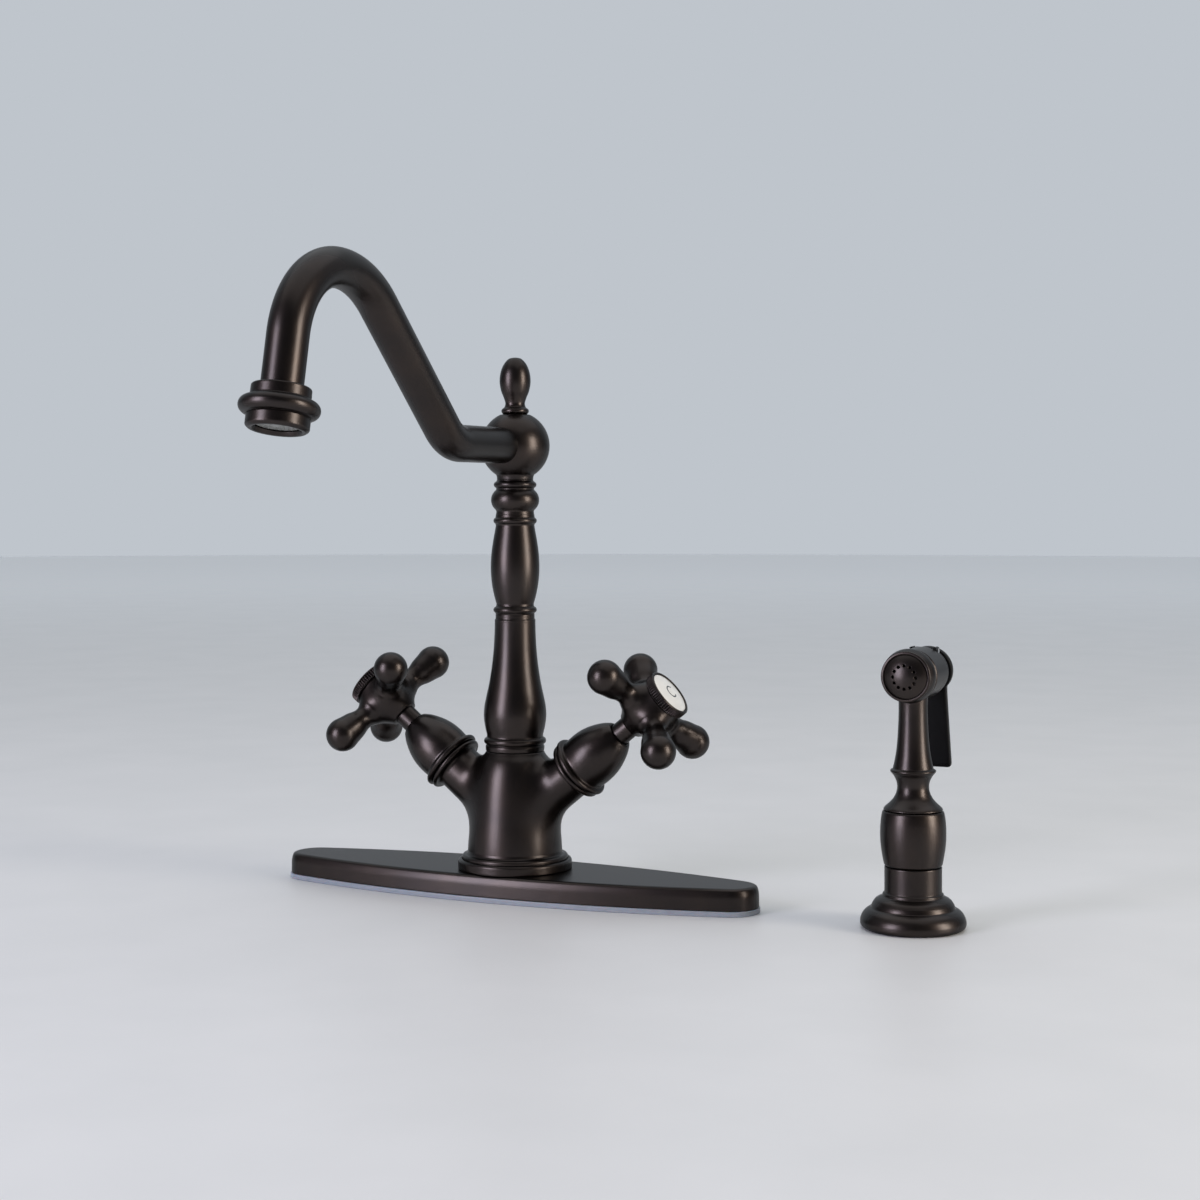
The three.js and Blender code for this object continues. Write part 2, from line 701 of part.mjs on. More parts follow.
// The spout's centre line, walked from the ball: straight runs and circular bends in the
// Y-Z plane. Returns the curve and the middle of the outlet bead.
function spoutRoute() {
  const path = new THREE.CurvePath();
  let at = vec(0, -spoutInset, spoutHeight);
  let heading = 0;
  const ahead = (from, length) => vec(
    0, from.y - length * Math.cos(heading), from.z + length * Math.sin(heading),
  );
  const straight = (length) => {
    const to = ahead(at, length);
    path.add(new THREE.LineCurve3(at, to));
    at = to;
  };
  const bend = (radius, turn) => {
    const [from, start, signed] = [at, heading, Math.sign(turn) * radius];
    const run = new THREE.Curve();
    run.getPoint = (t, target = vec(0, 0, 0)) => {
      const angle = start + radians(turn) * t;
      const reach = signed * (Math.sin(angle) - Math.sin(start));
      const climb = signed * (Math.cos(start) - Math.cos(angle));
      return target.set(0, from.y - reach, from.z + climb);
    };
    path.add(run);
    at = run.getPoint(1);
    heading += radians(turn);
  };
  straight(spoutRun);
  bend(spoutBendRadius, spoutRise);
  straight(spoutRiseLength);
  bend(crownRadius, -spoutRise);
  bend(crownFallRadius, -spoutFall);
  straight(spoutLeg - outletSocket);
  return { path, bead: ahead(at, outletSocket) };
}

// The tube: an annulus carried along the route.
function spoutTube(path) {
  const section = new THREE.Shape().absarc(0, 0, spoutRadius, 0, 2 * Math.PI, false);
  section.holes.push(new THREE.Path().absarc(0, 0, spoutRadius - spoutWall, 0, 2 * Math.PI, true));
  const geometry = new THREE.ExtrudeGeometry(section, {
    steps: spoutSteps, curveSegments: plain / 2, bevelEnabled: false, extrudePath: path,
  });
  return piece('spout_tube', solid(geometry), bronze);
}

// The outlet in its own frame: +Z runs back up the tube, and the bead's middle is at 0.
function outlet(bead) {
  const shoulder = outletSocket - 1.4;
  const socket = spoutRadius + gap;
  const waterway = spoutRadius - spoutWall + 0.3;
  const collarEnd = outletBeadHalf + outletCollarHeight;
  const trim = ring([
    [outletCollar, -outletBeadHalf], ...arc(outletBead - outletBeadHalf, 0, outletBeadHalf, -80, 80, 4),
    [outletCollar, outletBeadHalf], [outletCollar, collarEnd - 0.6], [outletCollar - 0.6, collarEnd],
    [socket, collarEnd], [socket, outletSocket - gap], [waterway, outletSocket - gap],
    [waterway, shoulder], [outletThread + gap, shoulder], [outletThread + gap, -outletBeadHalf],
  ]);
  const housingTop = -outletBeadHalf - gap;
  const housingLow = housingTop - aeratorHeight;
  const threadEnd = shoulder - 1.7;
  const lipTop = housingLow + 1.8;
  const housing = ring([
    [aeratorRadius - 0.7, housingLow], [aeratorRadius, housingLow + 0.7],
    [aeratorRadius, housingTop], [outletThread, housingTop], [outletThread, threadEnd],
    [aeratorBore, threadEnd], [aeratorBore, lipTop], [aeratorLip, lipTop], [aeratorLip, housingLow],
  ]);
  const insertLow = lipTop + gap;
  const insertTop = threadEnd - gap;
  const insertRadius = aeratorBore - gap;
  let insert = turned([
    [0, insertLow], [insertRadius, insertLow], [insertRadius, insertTop], [0, insertTop],
  ]);
  for (let i = 0; i < 6; i += 1) {
    const angle = i * Math.PI / 3;
    const [x, y] = [5.6 * Math.cos(angle), 5.6 * Math.sin(angle)];
    insert = insert.subtract(bar(1.7, vec(x, y, insertLow - 1), vec(x, y, insertTop + 1), 8));
  }
  const washer = tube(outletThread - gap, waterway, threadEnd + gap, shoulder - gap, plain);
  const holder = group(
    piece('outlet_collar', trim, bronze),
    piece('aerator_housing', housing, bronze),
    piece('aerator_insert', insert, whitePlastic),
    piece('aerator_washer', washer, blackRubber),
  );
  holder.position.copy(bead);
  holder.rotation.x = -radians(90 - spoutFall);
  return holder;
}

// --- Side sprayer ------------------------------------------------------------------

function sprayHolder() {
  const bushFloor = 13;
  const guide = ring([
    [guideShankRadius, -guideShankReach], [guideShankRadius, 0], [guideFlange - 1.6, 0],
    [guideFlange, 1.9], [guideFlange, 4.2], [23.2, 6.4], [21.2, 8.2], [19, 9.2], [18.6, 10.6],
    [17.2, 12.7], [14.9, 14.2], [13.8, 14.7], [13.7, 15.8], [guideRadius, 16.4],
    [guideRadius, guideTop], [bushSeat, guideTop], [bushSeat, bushFloor], [guideBore, bushFloor],
    [guideBore, -guideShankReach],
  ]);
  const bush = tube(bushSeat - gap, bushSeat - gap - bushWall, bushFloor + gap, guideTop - gap, fine);
  const under = -worktop;
  const hole = guideShankRadius + gap;
  const washer = tube(22, hole, under - 2, under);
  const nut = bar(18, vec(0, 0, under - 10), vec(0, 0, under - 2), 6)
    .subtract(bar(hole, vec(0, 0, under - 11), vec(0, 0, under - 1), fine));
  return [
    piece('spray_guide', guide, bronze),
    piece('guide_bush', bush, blackPlastic),
    piece('guide_washer', washer, steel),
    piece('guide_nut', nut, brass),
  ];
}

// A solid made with +Z forwards, laid on the spray head's axis so that +Z becomes -Y.
const onHead = (geometry) => solid(geometry.rotateX(Math.PI / 2).translate(0, 0, headHeight));

function sprayHandle() {
  const low = guideTop + gap;
  const couplingThread = couplingRadius - 1.7;
  const seat = low + 10;
  const socket = gripTop - 6.6;
  const spigot = 9;
  const grip = ring([
    [12.7, low], [13.3, low + 0.7],
    ...smooth([[13.5, low + 1.5], [14.5, 35.5], [15.1, 43], [14.6, 49.5], [14, gripTop - 0.5]], 5),
    [13.7, gripTop], [spigot + gap, gripTop], [spigot + gap, socket], [couplingBore + 0.6, socket],
    [couplingBore + 0.6, seat], [couplingThread + gap, seat], [couplingThread + gap, low],
  ]);
  const coupling = ring([
    [couplingRadius, couplingFoot], [couplingRadius, low - gap], [couplingThread, low - gap],
    [couplingThread, seat - gap], [couplingBore, seat - gap], [couplingBore, couplingFoot],
  ], plain);
  const neckBore = 3;
  const neckTop = headHeight - headRadius + 4;
  const tenonTop = headHeight - valveChamber - 0.5;
  const foot = gripTop + gap;
  const neck = ring([
    [spigot, socket + gap], [spigot, foot], [13.6, foot], [13.4, foot + 0.8],
    ...smooth([[11.7, 56.6], [9.2, 58.8], [7.3, 62.4], [7.4, 66], [8.9, 69.4], [10.2, 71]], 6),
    [10.4, 71.9], [9.3, 72.6], ...smooth([[9, 73.3], [7.9, 80], [6.9, 90], [6.6, neckTop]], 3),
    [tenonRadius, neckTop], [tenonRadius, tenonTop], [neckBore, tenonTop], [neckBore, socket + gap],
  ]);
  const saddle = onHead(turning([
    [0, -30], [headRadius + gap, -30], [headRadius + gap, headFront],
    [faceRingRadius + gap, headFront], [faceRingRadius + gap, 30], [0, 30],
  ]));
  const tenonBar = bar(tenonRadius, vec(0, 0, neckTop - 9), vec(0, 0, tenonTop), fine)
    .subtract(bar(neckBore, vec(0, 0, neckTop - 10), vec(0, 0, tenonTop + 1), fine));
  return [
    piece('spray_grip', grip, bronze),
    piece('hose_coupling', coupling, brass),
    piece('spray_neck', neck.subtract(saddle).add(tenonBar), bronze),
  ];
}

function sprayHead() {
  const seatRear = seatFront - seatThickness;
  const spigot = 9;
  const rodHole = rodRadius + gap;
  const nozzle = headFront + nozzleSpigot;
  const barrel = onHead(turning([
    [headRadius - 0.5, -headRear], [headRadius, -headRear + 0.6], [headRadius, headFront],
    [spigot, headFront], [spigot, nozzle], [valveChamber, nozzle], [valveChamber, seatFront],
    [rodHole + 1.4, seatFront], [rodHole + 1.4, seatRear],
    [valveChamber, seatRear], [valveChamber, -headRear], [headRadius - 0.5, -headRear],
  ])).subtract(bar(tenonRadius + gap, vec(0, 0, headHeight - 20), vec(0, 0, headHeight - valveChamber + 1.5), fine));
  const faceBack = nozzle + 2 * gap;
  const flangeTop = faceBack + 0.8;
  const lip = faceRadius - 0.5;
  const ringRear = headFront + gap;
  const faceRing = onHead(turning([
    [faceRingRadius - 0.7, ringRear], [faceRingRadius - 0.2, ringRear + 0.6],
    [faceRingRadius, ringRear + 1.2], [faceRingRadius, faceRingFront - 0.8],
    [faceRingRadius - 0.9, faceRingFront], [lip, faceRingFront], [lip, flangeTop + gap],
    [faceRadius + gap, flangeTop + gap], [faceRadius + gap, ringRear],
    [faceRingRadius - 0.7, ringRear],
  ]));
  const rim = lip - gap;
  let face = onHead(turning([
    [0, faceBack], [faceRadius, faceBack], [faceRadius, flangeTop], [rim, flangeTop],
    [rim, faceRingFront - 0.2], [7.4, faceRingFront + 0.7], [5, faceRingFront + 1.3],
    [4.2, faceRingFront + 1.5], [2.4, faceRingFront + 2.2], [0, faceRingFront + 2.4],
  ]));
  const holes = 12;
  for (let i = 0; i < holes; i += 1) {
    const angle = 2 * Math.PI * i / holes;
    const [x, z] = [5.4 * Math.cos(angle), headHeight + 5.4 * Math.sin(angle)];
    face = face.subtract(bar(0.6, vec(x, -30, z), vec(x, -faceBack + 1, z), 6));
  }
  return [
    piece('spray_head', barrel, bronze),
    piece('spray_face_ring', faceRing, bronze),
    piece('spray_face', face, bronze),
  ];
}

// The rear cap closes the valve chamber and carries the lever between two ears.
function rearCap() {
  const low = headRear + gap;
  const [pinY, pinZ] = leverPin;
  const knuckleHalf = 4.1;
  let cap = onHead(turning([
    [0, -rearCapEnd], [rearCapRadius - 1, -rearCapEnd], [rearCapRadius, -rearCapEnd + 1],
    [rearCapRadius, -low], [valveChamber - gap, -low], [valveChamber - gap, -low + 2], [0, -low + 2],
  ]));
  const inner = knuckleHalf + gap;
  const outer = inner + 2.4;
  for (const side of [1, -1]) {
    const [near, far] = [side * inner, side * outer].sort((a, b) => a - b);
    cap = cap.add(block([near, low, pinZ - 6], [far, rearCapEnd, pinZ + 2.2]));
  }
  cap = cap
    .subtract(block([-inner, low - 1, pinZ - 2.6], [inner, rearCapEnd + 1, pinZ + 8]))
    .subtract(bar(leverPinRadius + gap, vec(-outer - 1, pinY, pinZ), vec(outer + 1, pinY, pinZ), 12))
    .subtract(bar(rodRadius + gap, vec(0, 0, headHeight), vec(0, rearCapEnd + 1, headHeight), 12));
  const pin = bar(leverPinRadius, vec(-outer, pinY, pinZ), vec(outer, pinY, pinZ), 12);
  return [
    piece('spray_rear_cap', cap, blackPlastic),
    piece('lever_pin', pin, steel),
  ];
}

// A round pad over the valve rod with a tongue hanging behind the neck.
function lever() {
  const [pinY, pinZ] = leverPin;
  const knuckle = 2.3;
  const half = 4.1;
  const [top, foot] = [7.8, 8.5];
  const outline = new THREE.Shape();
  const meet = Math.asin(top / rearCapRadius);
  outline.moveTo(-foot + 1.5, -leverLength);
  outline.lineTo(foot - 1.5, -leverLength);
  outline.lineTo(foot, -leverLength + 1.5);
  outline.absarc(0, 0, rearCapRadius, meet - Math.PI / 2, Math.PI * 1.5 - meet, false);
  outline.lineTo(-foot, -leverLength + 1.5);
  const blade = new THREE.ExtrudeGeometry(outline, {
    depth: leverThickness, bevelEnabled: false, curveSegments: 18,
  });
  blade.translate(0, 0, -leverThickness).rotateX(radians(90 + leverTilt));
  const pad = solid(blade.translate(0, rodEnd + gap + 0.3, headHeight));
  const bridge = block([-half, pinY, pinZ - 1.6], [half, pinY + 7.5, pinZ + 1.9]);
  const eye = bar(knuckle, vec(-half, pinY, pinZ), vec(half, pinY, pinZ), plain);
  const body = pad.add(bridge).add(eye)
    .subtract(bar(leverPinRadius + gap, vec(-half - 1, pinY, pinZ), vec(half + 1, pinY, pinZ), 12));
  return piece('spray_lever', body, blackPlastic);
}

// The rod opens the valve disc in front of its seat. A spring behind the seat returns it.
function sprayValve() {
  const collarRear = 2 + gap - headRear;
  const collarFront = collarRear + 1.8;
  const discRear = seatFront + gap;
  const rod = onHead(turning([
    [0, -rodEnd], [rodRadius, -rodEnd], [rodRadius, collarRear], [5.2, collarRear],
    [5.2, collarFront], [rodRadius, collarFront], [rodRadius, discRear], [5, discRear],
    [5, discRear + 1.6], [0, discRear + 1.6],
  ], plain));
  const from = collarFront + gap + springWire;
  const to = seatFront - seatThickness - gap - springWire;
  const helix = new THREE.Curve();
  helix.getPoint = (t, target = vec(0, 0, 0)) => {
    const angle = 2 * Math.PI * springTurns * t;
    return target.set(4.2 * Math.cos(angle), 4.2 * Math.sin(angle), from + (to - from) * t);
  };
  const wire = new THREE.Shape().absarc(0, 0, springWire, 0, 2 * Math.PI, false);
  const coil = new THREE.ExtrudeGeometry(wire, {
    steps: springTurns * 8, curveSegments: 3, bevelEnabled: false, extrudePath: helix,
  });
  return [
    piece('valve_plunger', rod, brass),
    piece('valve_spring', onHead(coil), steel),
  ];
}

function sideSprayer() {
  const holder = group(
    ...sprayHolder(), ...sprayHandle(), ...sprayHead(), ...rearCap(), lever(), ...sprayValve(),
  );
  holder.position.x = sprayerX;
  return holder;
}

// --- Assembly ----------------------------------------------------------------------

const { path, bead } = spoutRoute();

const faucet = group(
  ...coverPlate(),
  ...deckFixings(),
  supplyTube('hot_inlet', inletPlace(-1)),
  supplyTube('cold_inlet', inletPlace(1)),
  supplyTube('spray_outlet', sprayOutletOffset),
  baseRing(),
  faucetBody(),
  diverter(),
  valve('hot', -1),
  valve('cold', 1),
  ...swivel(),
  ...post(),
  spoutHub(),
  finial(),
  spoutTube(path),
  outlet(bead),
  sideSprayer(),
);
faucet.name = 'two_handle_faucet';

export default faucet;
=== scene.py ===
import json

import bmesh
import bpy
import numpy as np
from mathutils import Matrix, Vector


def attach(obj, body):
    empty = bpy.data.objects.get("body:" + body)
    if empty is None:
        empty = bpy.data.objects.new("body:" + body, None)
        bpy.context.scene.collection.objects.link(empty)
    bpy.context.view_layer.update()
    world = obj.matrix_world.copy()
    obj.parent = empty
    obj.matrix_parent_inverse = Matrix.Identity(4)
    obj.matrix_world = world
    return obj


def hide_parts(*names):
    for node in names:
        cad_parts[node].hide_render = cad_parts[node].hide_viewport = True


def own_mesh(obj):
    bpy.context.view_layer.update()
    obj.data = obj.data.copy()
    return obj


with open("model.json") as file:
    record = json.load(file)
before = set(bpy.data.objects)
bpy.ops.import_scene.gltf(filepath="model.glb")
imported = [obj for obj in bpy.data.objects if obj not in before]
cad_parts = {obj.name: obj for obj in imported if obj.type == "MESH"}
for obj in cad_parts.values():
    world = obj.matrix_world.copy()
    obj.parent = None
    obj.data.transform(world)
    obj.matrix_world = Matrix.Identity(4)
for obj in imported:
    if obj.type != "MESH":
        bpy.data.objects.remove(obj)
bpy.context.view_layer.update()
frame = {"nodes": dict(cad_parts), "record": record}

# --- Underlay ------------------------------------------------------------------------
# A frosted polyethylene sheet lies between the cover plate and the worktop. It is punched
# from flat sheet, stands a little proud of the plate all round, and is clamped by it.

body_of = {node: body for body, nodes in frame["record"]["behaviour"]["bodies"].items() for node in nodes}


def linear(colour):
    """An sRGB hex colour as linear RGBA: c / 12.92 up to 0.04045, ((c + 0.055) / 1.055) ^ 2.4 above."""
    c = np.array([int(colour[i:i + 2], 16) for i in (1, 3, 5)]) / 255
    return (*np.where(c <= 0.04045, c / 12.92, ((c + 0.055) / 1.055) ** 2.4).tolist(), 1)


def add(finish, kind, inputs=(), **settings):
    """Adds a node to a finish. Settings are its properties. Each input is a value, or a socket to link."""
    tree = finish.node_tree
    node = tree.nodes.new("ShaderNode" + kind)
    for key, value in settings.items():
        setattr(node, key, value)
    for key, value in dict(inputs).items():
        if isinstance(value, bpy.types.NodeSocket):
            tree.links.new(value, node.inputs[key])
        else:
            node.inputs[key].default_value = value
    return node


def new_finish(name):
    """An empty node material and its object coordinates, in metres."""
    finish = bpy.data.materials.new(name)
    finish.use_nodes = True
    finish.node_tree.nodes.clear()
    return finish, add(finish, "TexCoord").outputs["Object"]


def mottled(finish, place, scale, detail, one, other):
    """The colour of clouds between two sRGB hex colours. The scale is in clouds per metre."""
    noise = add(finish, "TexNoise", {"Vector": place, "Scale": scale, "Detail": detail})
    return add(finish, "Mix", {"Factor": noise.outputs["Fac"], 6: linear(one), 7: linear(other)},
               data_type="RGBA").outputs[2]


def show(finish, inputs):
    """Ends a finish with a principled shader that has these inputs."""
    add(finish, "OutputMaterial", {"Surface": add(finish, "BsdfPrincipled", inputs).outputs[0]})


def circle(count):
    """Angles that go once round, evenly."""
    return np.linspace(0, 2 * np.pi, count, endpoint=False)


def skin(grid, ends="pole"):
    """A closed surface over a grid of points, rows by columns, whose columns close round.

    With ends "pole" the first and last rows each shrink to one point, with "flat" each is
    closed by one flat face, and with "loop" the last row joins the first. The volume is the
    sum of a . (b x c) / 6 over the triangles, and where it is negative the faces are turned.
    """
    rows, columns = grid.shape[:2]
    number = np.arange(rows * columns).reshape(rows, columns)
    if ends == "pole":
        number[0], number[-1] = number[0, 0], number[-1, 0]
    if ends == "loop":
        number = np.vstack([number, number[:1]])
    right = np.roll(number, -1, axis=1)
    quads = np.stack([number[:-1], right[:-1], right[1:], number[1:]], axis=-1).reshape(-1, 4)
    at = grid.reshape(-1, 3)
    a, b, c, d = (at[quads[:, i]] for i in range(4))
    volume = np.sum(np.cross(b, c) * a) + np.sum(np.cross(c, d) * a)
    lids = [number[0, ::-1].tolist(), number[-1].tolist()] if ends == "flat" else []
    first, last = quads[:, 0] == quads[:, 1], quads[:, 2] == quads[:, 3]
    faces = quads[~(first | last)].tolist() + quads[first][:, [0, 2, 3]].tolist()
    faces += quads[last][:, [0, 1, 2]].tolist() + lids
    if volume < 0:
        faces = [face[::-1] for face in faces]
    return at, faces


def build(name, skins, finish, *nodes, close=False):
    """One object from one or more skins in millimetres. It stands for the named nodes and rides with them."""
    corners, faces, start = [], [], 0
    for at, some in skins:
        corners.append(at)
        faces += [[start + i for i in face] for face in some]
        start += len(at)
    mesh = bpy.data.meshes.new(name)
    mesh.from_pydata(np.vstack(corners) / 1000, [], faces)
    shape = bmesh.new()
    shape.from_mesh(mesh)
    loose = [v for v in shape.verts if not v.link_faces]
    bmesh.ops.delete(shape, geom=loose, context="VERTS")
    if close:
        bmesh.ops.remove_doubles(shape, verts=shape.verts, dist=2e-6)
        bmesh.ops.holes_fill(shape, edges=[e for e in shape.edges if e.is_boundary], sides=0)
    shape.to_mesh(mesh)
    shape.free()
    mesh.shade_smooth()
    mesh.materials.append(finish)
    piece = bpy.data.objects.new(name, mesh)
    bpy.context.scene.collection.objects.link(piece)
    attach(piece, body_of[nodes[0]])
    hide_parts(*nodes)
    return piece


def eased(profile, corner=0.2):
    """A profile of (across, up) points with its corners rounded.

    A corner P becomes the parabola A (1-t)^2 + 2 P t (1-t) + B t^2. A and B lie a cut back
    along its two sides, but no further than their middles. The cut is a point's third number.
    A long straight side gets a point near each end, so that it shades flat.
    """
    corners = np.array([(*point, corner)[:3] for point in profile], float)
    p, cut = corners[:, :2], corners[1:-1, 2:]
    inner, back, ahead = p[1:-1], p[:-2] - p[1:-1], p[2:] - p[1:-1]
    a = inner + back * np.minimum(cut / np.linalg.norm(back, axis=1, keepdims=True), 0.5)
    b = inner + ahead * np.minimum(cut / np.linalg.norm(ahead, axis=1, keepdims=True), 0.5)
    t = np.array([0, 0.35, 0.65, 1])[None, :, None]
    bends = a[:, None] * (1 - t) ** 2 + 2 * inner[:, None] * t * (1 - t) + b[:, None] * t ** 2
    line = np.vstack([p[:1], bends.reshape(-1, 2), p[-1:]])
    line = line[np.r_[True, np.linalg.norm(np.diff(line, axis=0), axis=1) > 1e-3]]
    way = np.r_[0, np.cumsum(np.linalg.norm(np.diff(line, axis=0), axis=1))]
    long = np.diff(way) > 1.6
    way_all = np.sort(np.r_[way, way[:-1][long] + 0.4, way[1:][long] - 0.4])
    return np.stack([np.interp(way_all, way, line[:, i]) for i in (0, 1)], axis=-1)


PLATE_HALF_LENGTH, PLATE_HALF_WIDTH, PLATE_END = 127.8, 28.8, 14


def plate_edge(inset):
    """The cover plate's outline: two long arcs of one radius, tangent to a small round end each.

    With half length e to an end's centre, half width h and end radius r, the long radius is
    (e^2 + h^2 - r^2) / (2 (h - r)), and it meets the end at the angle atan(e / (radius - h)).
    """
    end = PLATE_END - inset
    half = PLATE_HALF_WIDTH - inset
    centre = PLATE_HALF_LENGTH - PLATE_END
    side = (centre ** 2 + half ** 2 - end ** 2) / (2 * (half - end))
    sweep = np.arctan2(centre, side - half)
    along = np.linspace(-sweep, sweep, 60, endpoint=False)
    round_end = np.linspace(np.pi / 2 - sweep, sweep - np.pi / 2, 32, endpoint=False)
    x = np.r_[side * np.sin(along), centre + end * np.cos(round_end)]
    y = np.r_[half - side + side * np.cos(along), end * np.sin(round_end)]
    return np.stack([np.r_[x, -x], np.r_[y, -y]], axis=-1)


def plate_stack(profile):
    """The outline at each (inset, height) of an eased profile, with a flat face at both ends."""
    rows = []
    for inset, height in eased(profile):
        edge = plate_edge(inset)
        rows.append(np.column_stack([edge, np.full(len(edge), height)]))
    return skin(np.array(rows), ends="flat")


# Frosted polyethylene: milky and translucent, so it glows a little where light gets in.
sheet, place = new_finish("frosted_polyethylene_sheet")
milky = mottled(sheet, place, 300, 3, "#868d97", "#9aa0a9")
show(sheet, {
    "Base Color": milky, "Roughness": 0.42, "IOR": 1.51, "Subsurface Weight": 0.2,
    "Subsurface Scale": 0.002})

build("underlay_sheet", [plate_stack([(-0.1, 0), (-0.5, 0.1), (-0.5, 2.4, 0.3), (-0.1, 2.5)])], sheet,
      "deck_gasket")

# --- Cover plate ---------------------------------------------------------------------
# A shallow tray of brass with its hollow side down covers the sink's spare holes. It is
# pressed, its top edge is rounded, and it has the finish of all the bronze pieces.

# Oil-rubbed bronze: brass darkened to a warm near-black and sealed with wax. It gives the eye a
# deep satin: brown metal with neutral highlights from the wax, edges that stay dark where light
# grazes them, faint clouds 15 mm wide and a 1.5 mm grain, over a 0.4 mm orange peel.
bronze, place = new_finish("oil_rubbed_bronze")
clouds = add(bronze, "TexNoise", {"Vector": place, "Scale": 65, "Detail": 4, "Roughness": 0.55})
grain = add(bronze, "TexNoise", {"Vector": place, "Scale": 650, "Detail": 3})
peel = add(bronze, "TexNoise", {"Vector": place, "Scale": 2600, "Detail": 2})
spread = add(bronze, "MapRange", {"Value": clouds.outputs["Fac"], "From Min": 0.35, "From Max": 0.68})
patina = add(bronze, "Mix", {"Factor": spread.outputs["Result"], 6: linear("#28201d"),
                             7: linear("#302621")}, data_type="RGBA")
rubbed = add(bronze, "MapRange", {"Value": grain.outputs["Fac"], "From Min": 0.3, "From Max": 0.7,
                                  "To Min": 0.33, "To Max": 0.39})
pitted = add(bronze, "Bump", {"Height": peel.outputs["Fac"], "Strength": 0.15, "Distance": 0.00003})
show(bronze, {
    "Base Color": patina.outputs[2], "Metallic": 1, "Roughness": rubbed.outputs["Result"],
    "Specular Tint": linear("#5c5754"), "Normal": pitted.outputs["Normal"], "Coat Weight": 0.6,
    "Coat Roughness": 0.3})

build("cover_plate_shell", [plate_stack([
    (3.4, 10.7), (2.2, 10.7, 0.5), (2.2, 2.5), (0, 2.5, 0.4), (0.1, 9.4, 1.2), (0.9, 12.2, 0.8),
    (2.2, 12.9, 0.7), (5, 12.9)])], bronze, "deck_plate")

# --- Clamp below the worktop ---------------------------------------------------------
# A threaded brass shank hangs from the body through the worktop. A rubber washer, a steel
# washer and a hexagon nut on it pull the whole faucet down.


def closed(profile):
    """An eased outline that closes on itself, from the middle of its first side."""
    seam = tuple((np.array(profile[0][:2]) + profile[-1][:2]) / 2)
    return eased([seam, *profile, seam])[:-1]


def spun(radius, height, turn):
    """Points at a radius and a height round the Z axis: x = r cos t, y = r sin t."""
    return np.stack([radius * np.cos(turn), radius * np.sin(turn), height + 0 * radius + 0 * turn], axis=-1)


def turned(profile, place=None, around=96, ring=False, ripple=None):
    """A profile of (radius, height) carried round the Z axis.

    A ring's profile closes on itself. A ripple changes the radius by turn and height.
    """
    line = closed(profile) if ring else eased(profile)
    turn = circle(around)[None]
    radius, height = line[:, :1], line[:, 1:]
    if ripple:
        radius = ripple(radius, height, turn)
    grid = spun(radius, height, turn)
    return skin(place(grid) if place else grid, ends="loop" if ring else "pole")


def lathe(name, node, finish, profile, **how):
    """One object from one turned skin. It stands for a node."""
    build(name, [turned(profile, **how)], finish, node)


def run(radius, low, high, step):
    """Points up a straight side, close enough together to carry a ripple."""
    return [(radius, height, 0) for height in np.linspace(low, high, int(abs(high - low) / step) + 1)]


def thread(low, high, pitch, depth):
    """A screw thread as a ripple: the radius falls by depth times a triangle wave of (height /
    pitch - turn), faded in over one pitch at both ends."""
    def ripple(radius, height, turn):
        wave = np.abs(2 * ((height / pitch - turn / (2 * np.pi)) % 1) - 1)
        fade = np.clip(np.minimum(height - low, high - height) / pitch, 0, 1)
        return radius - depth * wave * fade * (radius > radius.max() - 1)
    return ripple


def placing(x=0, y=0, z=0, tilt=0):
    """A placing turns points about X by tilt degrees and then shifts them: y' = y cos a - z sin a, and
    z' = y sin a + z cos a."""
    cosine, sine = np.cos(np.radians(tilt)), np.sin(np.radians(tilt))
    def placed(points):
        px, py, pz = np.moveaxis(points, -1, 0)
        return np.stack([px + x, py * cosine - pz * sine + y, py * sine + pz * cosine + z], axis=-1)
    return placed


# Turned brass: plain yellow metal from the lathe, with tool lines 0.4 mm apart round its axis.
brass, place = new_finish("turned_brass")
stretched = add(brass, "Mapping", {"Vector": place, "Scale": (20, 20, 2500)})
tool_lines = add(brass, "TexNoise", {"Vector": stretched.outputs["Vector"], "Scale": 1, "Detail": 2})
yellow = mottled(brass, place, 120, 4, "#b8964f", "#9c7c40")
cut_lines = add(brass, "Bump", {"Height": tool_lines.outputs["Fac"], "Strength": 0.25, "Distance": 0.00004})
show(brass, {
    "Base Color": yellow, "Metallic": 1, "Roughness": 0.3, "Normal": cut_lines.outputs["Normal"]})

# Stainless steel: grey, drawn and lightly satin, with a fine grain in its roughness.
stainless, place = new_finish("stainless_steel")
drawn = add(stainless, "TexNoise", {"Vector": place, "Scale": 900, "Detail": 3})
satin = add(stainless, "MapRange", {"Value": drawn.outputs["Fac"], "To Min": 0.24, "To Max": 0.4})
show(stainless, {"Base Color": linear("#b9bbbd"), "Metallic": 1, "Roughness": satin.outputs["Result"]})

# Black rubber: moulded, matt and faintly dusty.
rubber, place = new_finish("black_rubber")
sooty = mottled(rubber, place, 400, 4, "#1b1b1c", "#2a2a2a")
show(rubber, {"Base Color": sooty, "Roughness": 0.8, "IOR": 1.52})

lathe("shank_screw", "mounting_shank", brass, [
    (13.5, -55), (15.4, -55, 0.4), *run(15.9, -54.4, 25, 0.33), (15.3, 25.4), (13.5, 25.4)],
    ring=True, ripple=thread(-54, 0, 2, 0.9))
lathe("shank_rubber_washer", "shank_gasket", rubber, [
    (27, -33, 0.5), (27, -30, 0.5), (16.4, -30), (16.4, -33)], ring=True)
lathe("shank_steel_washer", "shank_washer", stainless, [
    (26, -35, 0.3), (26, -33, 0.3), (16.4, -33), (16.4, -35)], ring=True)


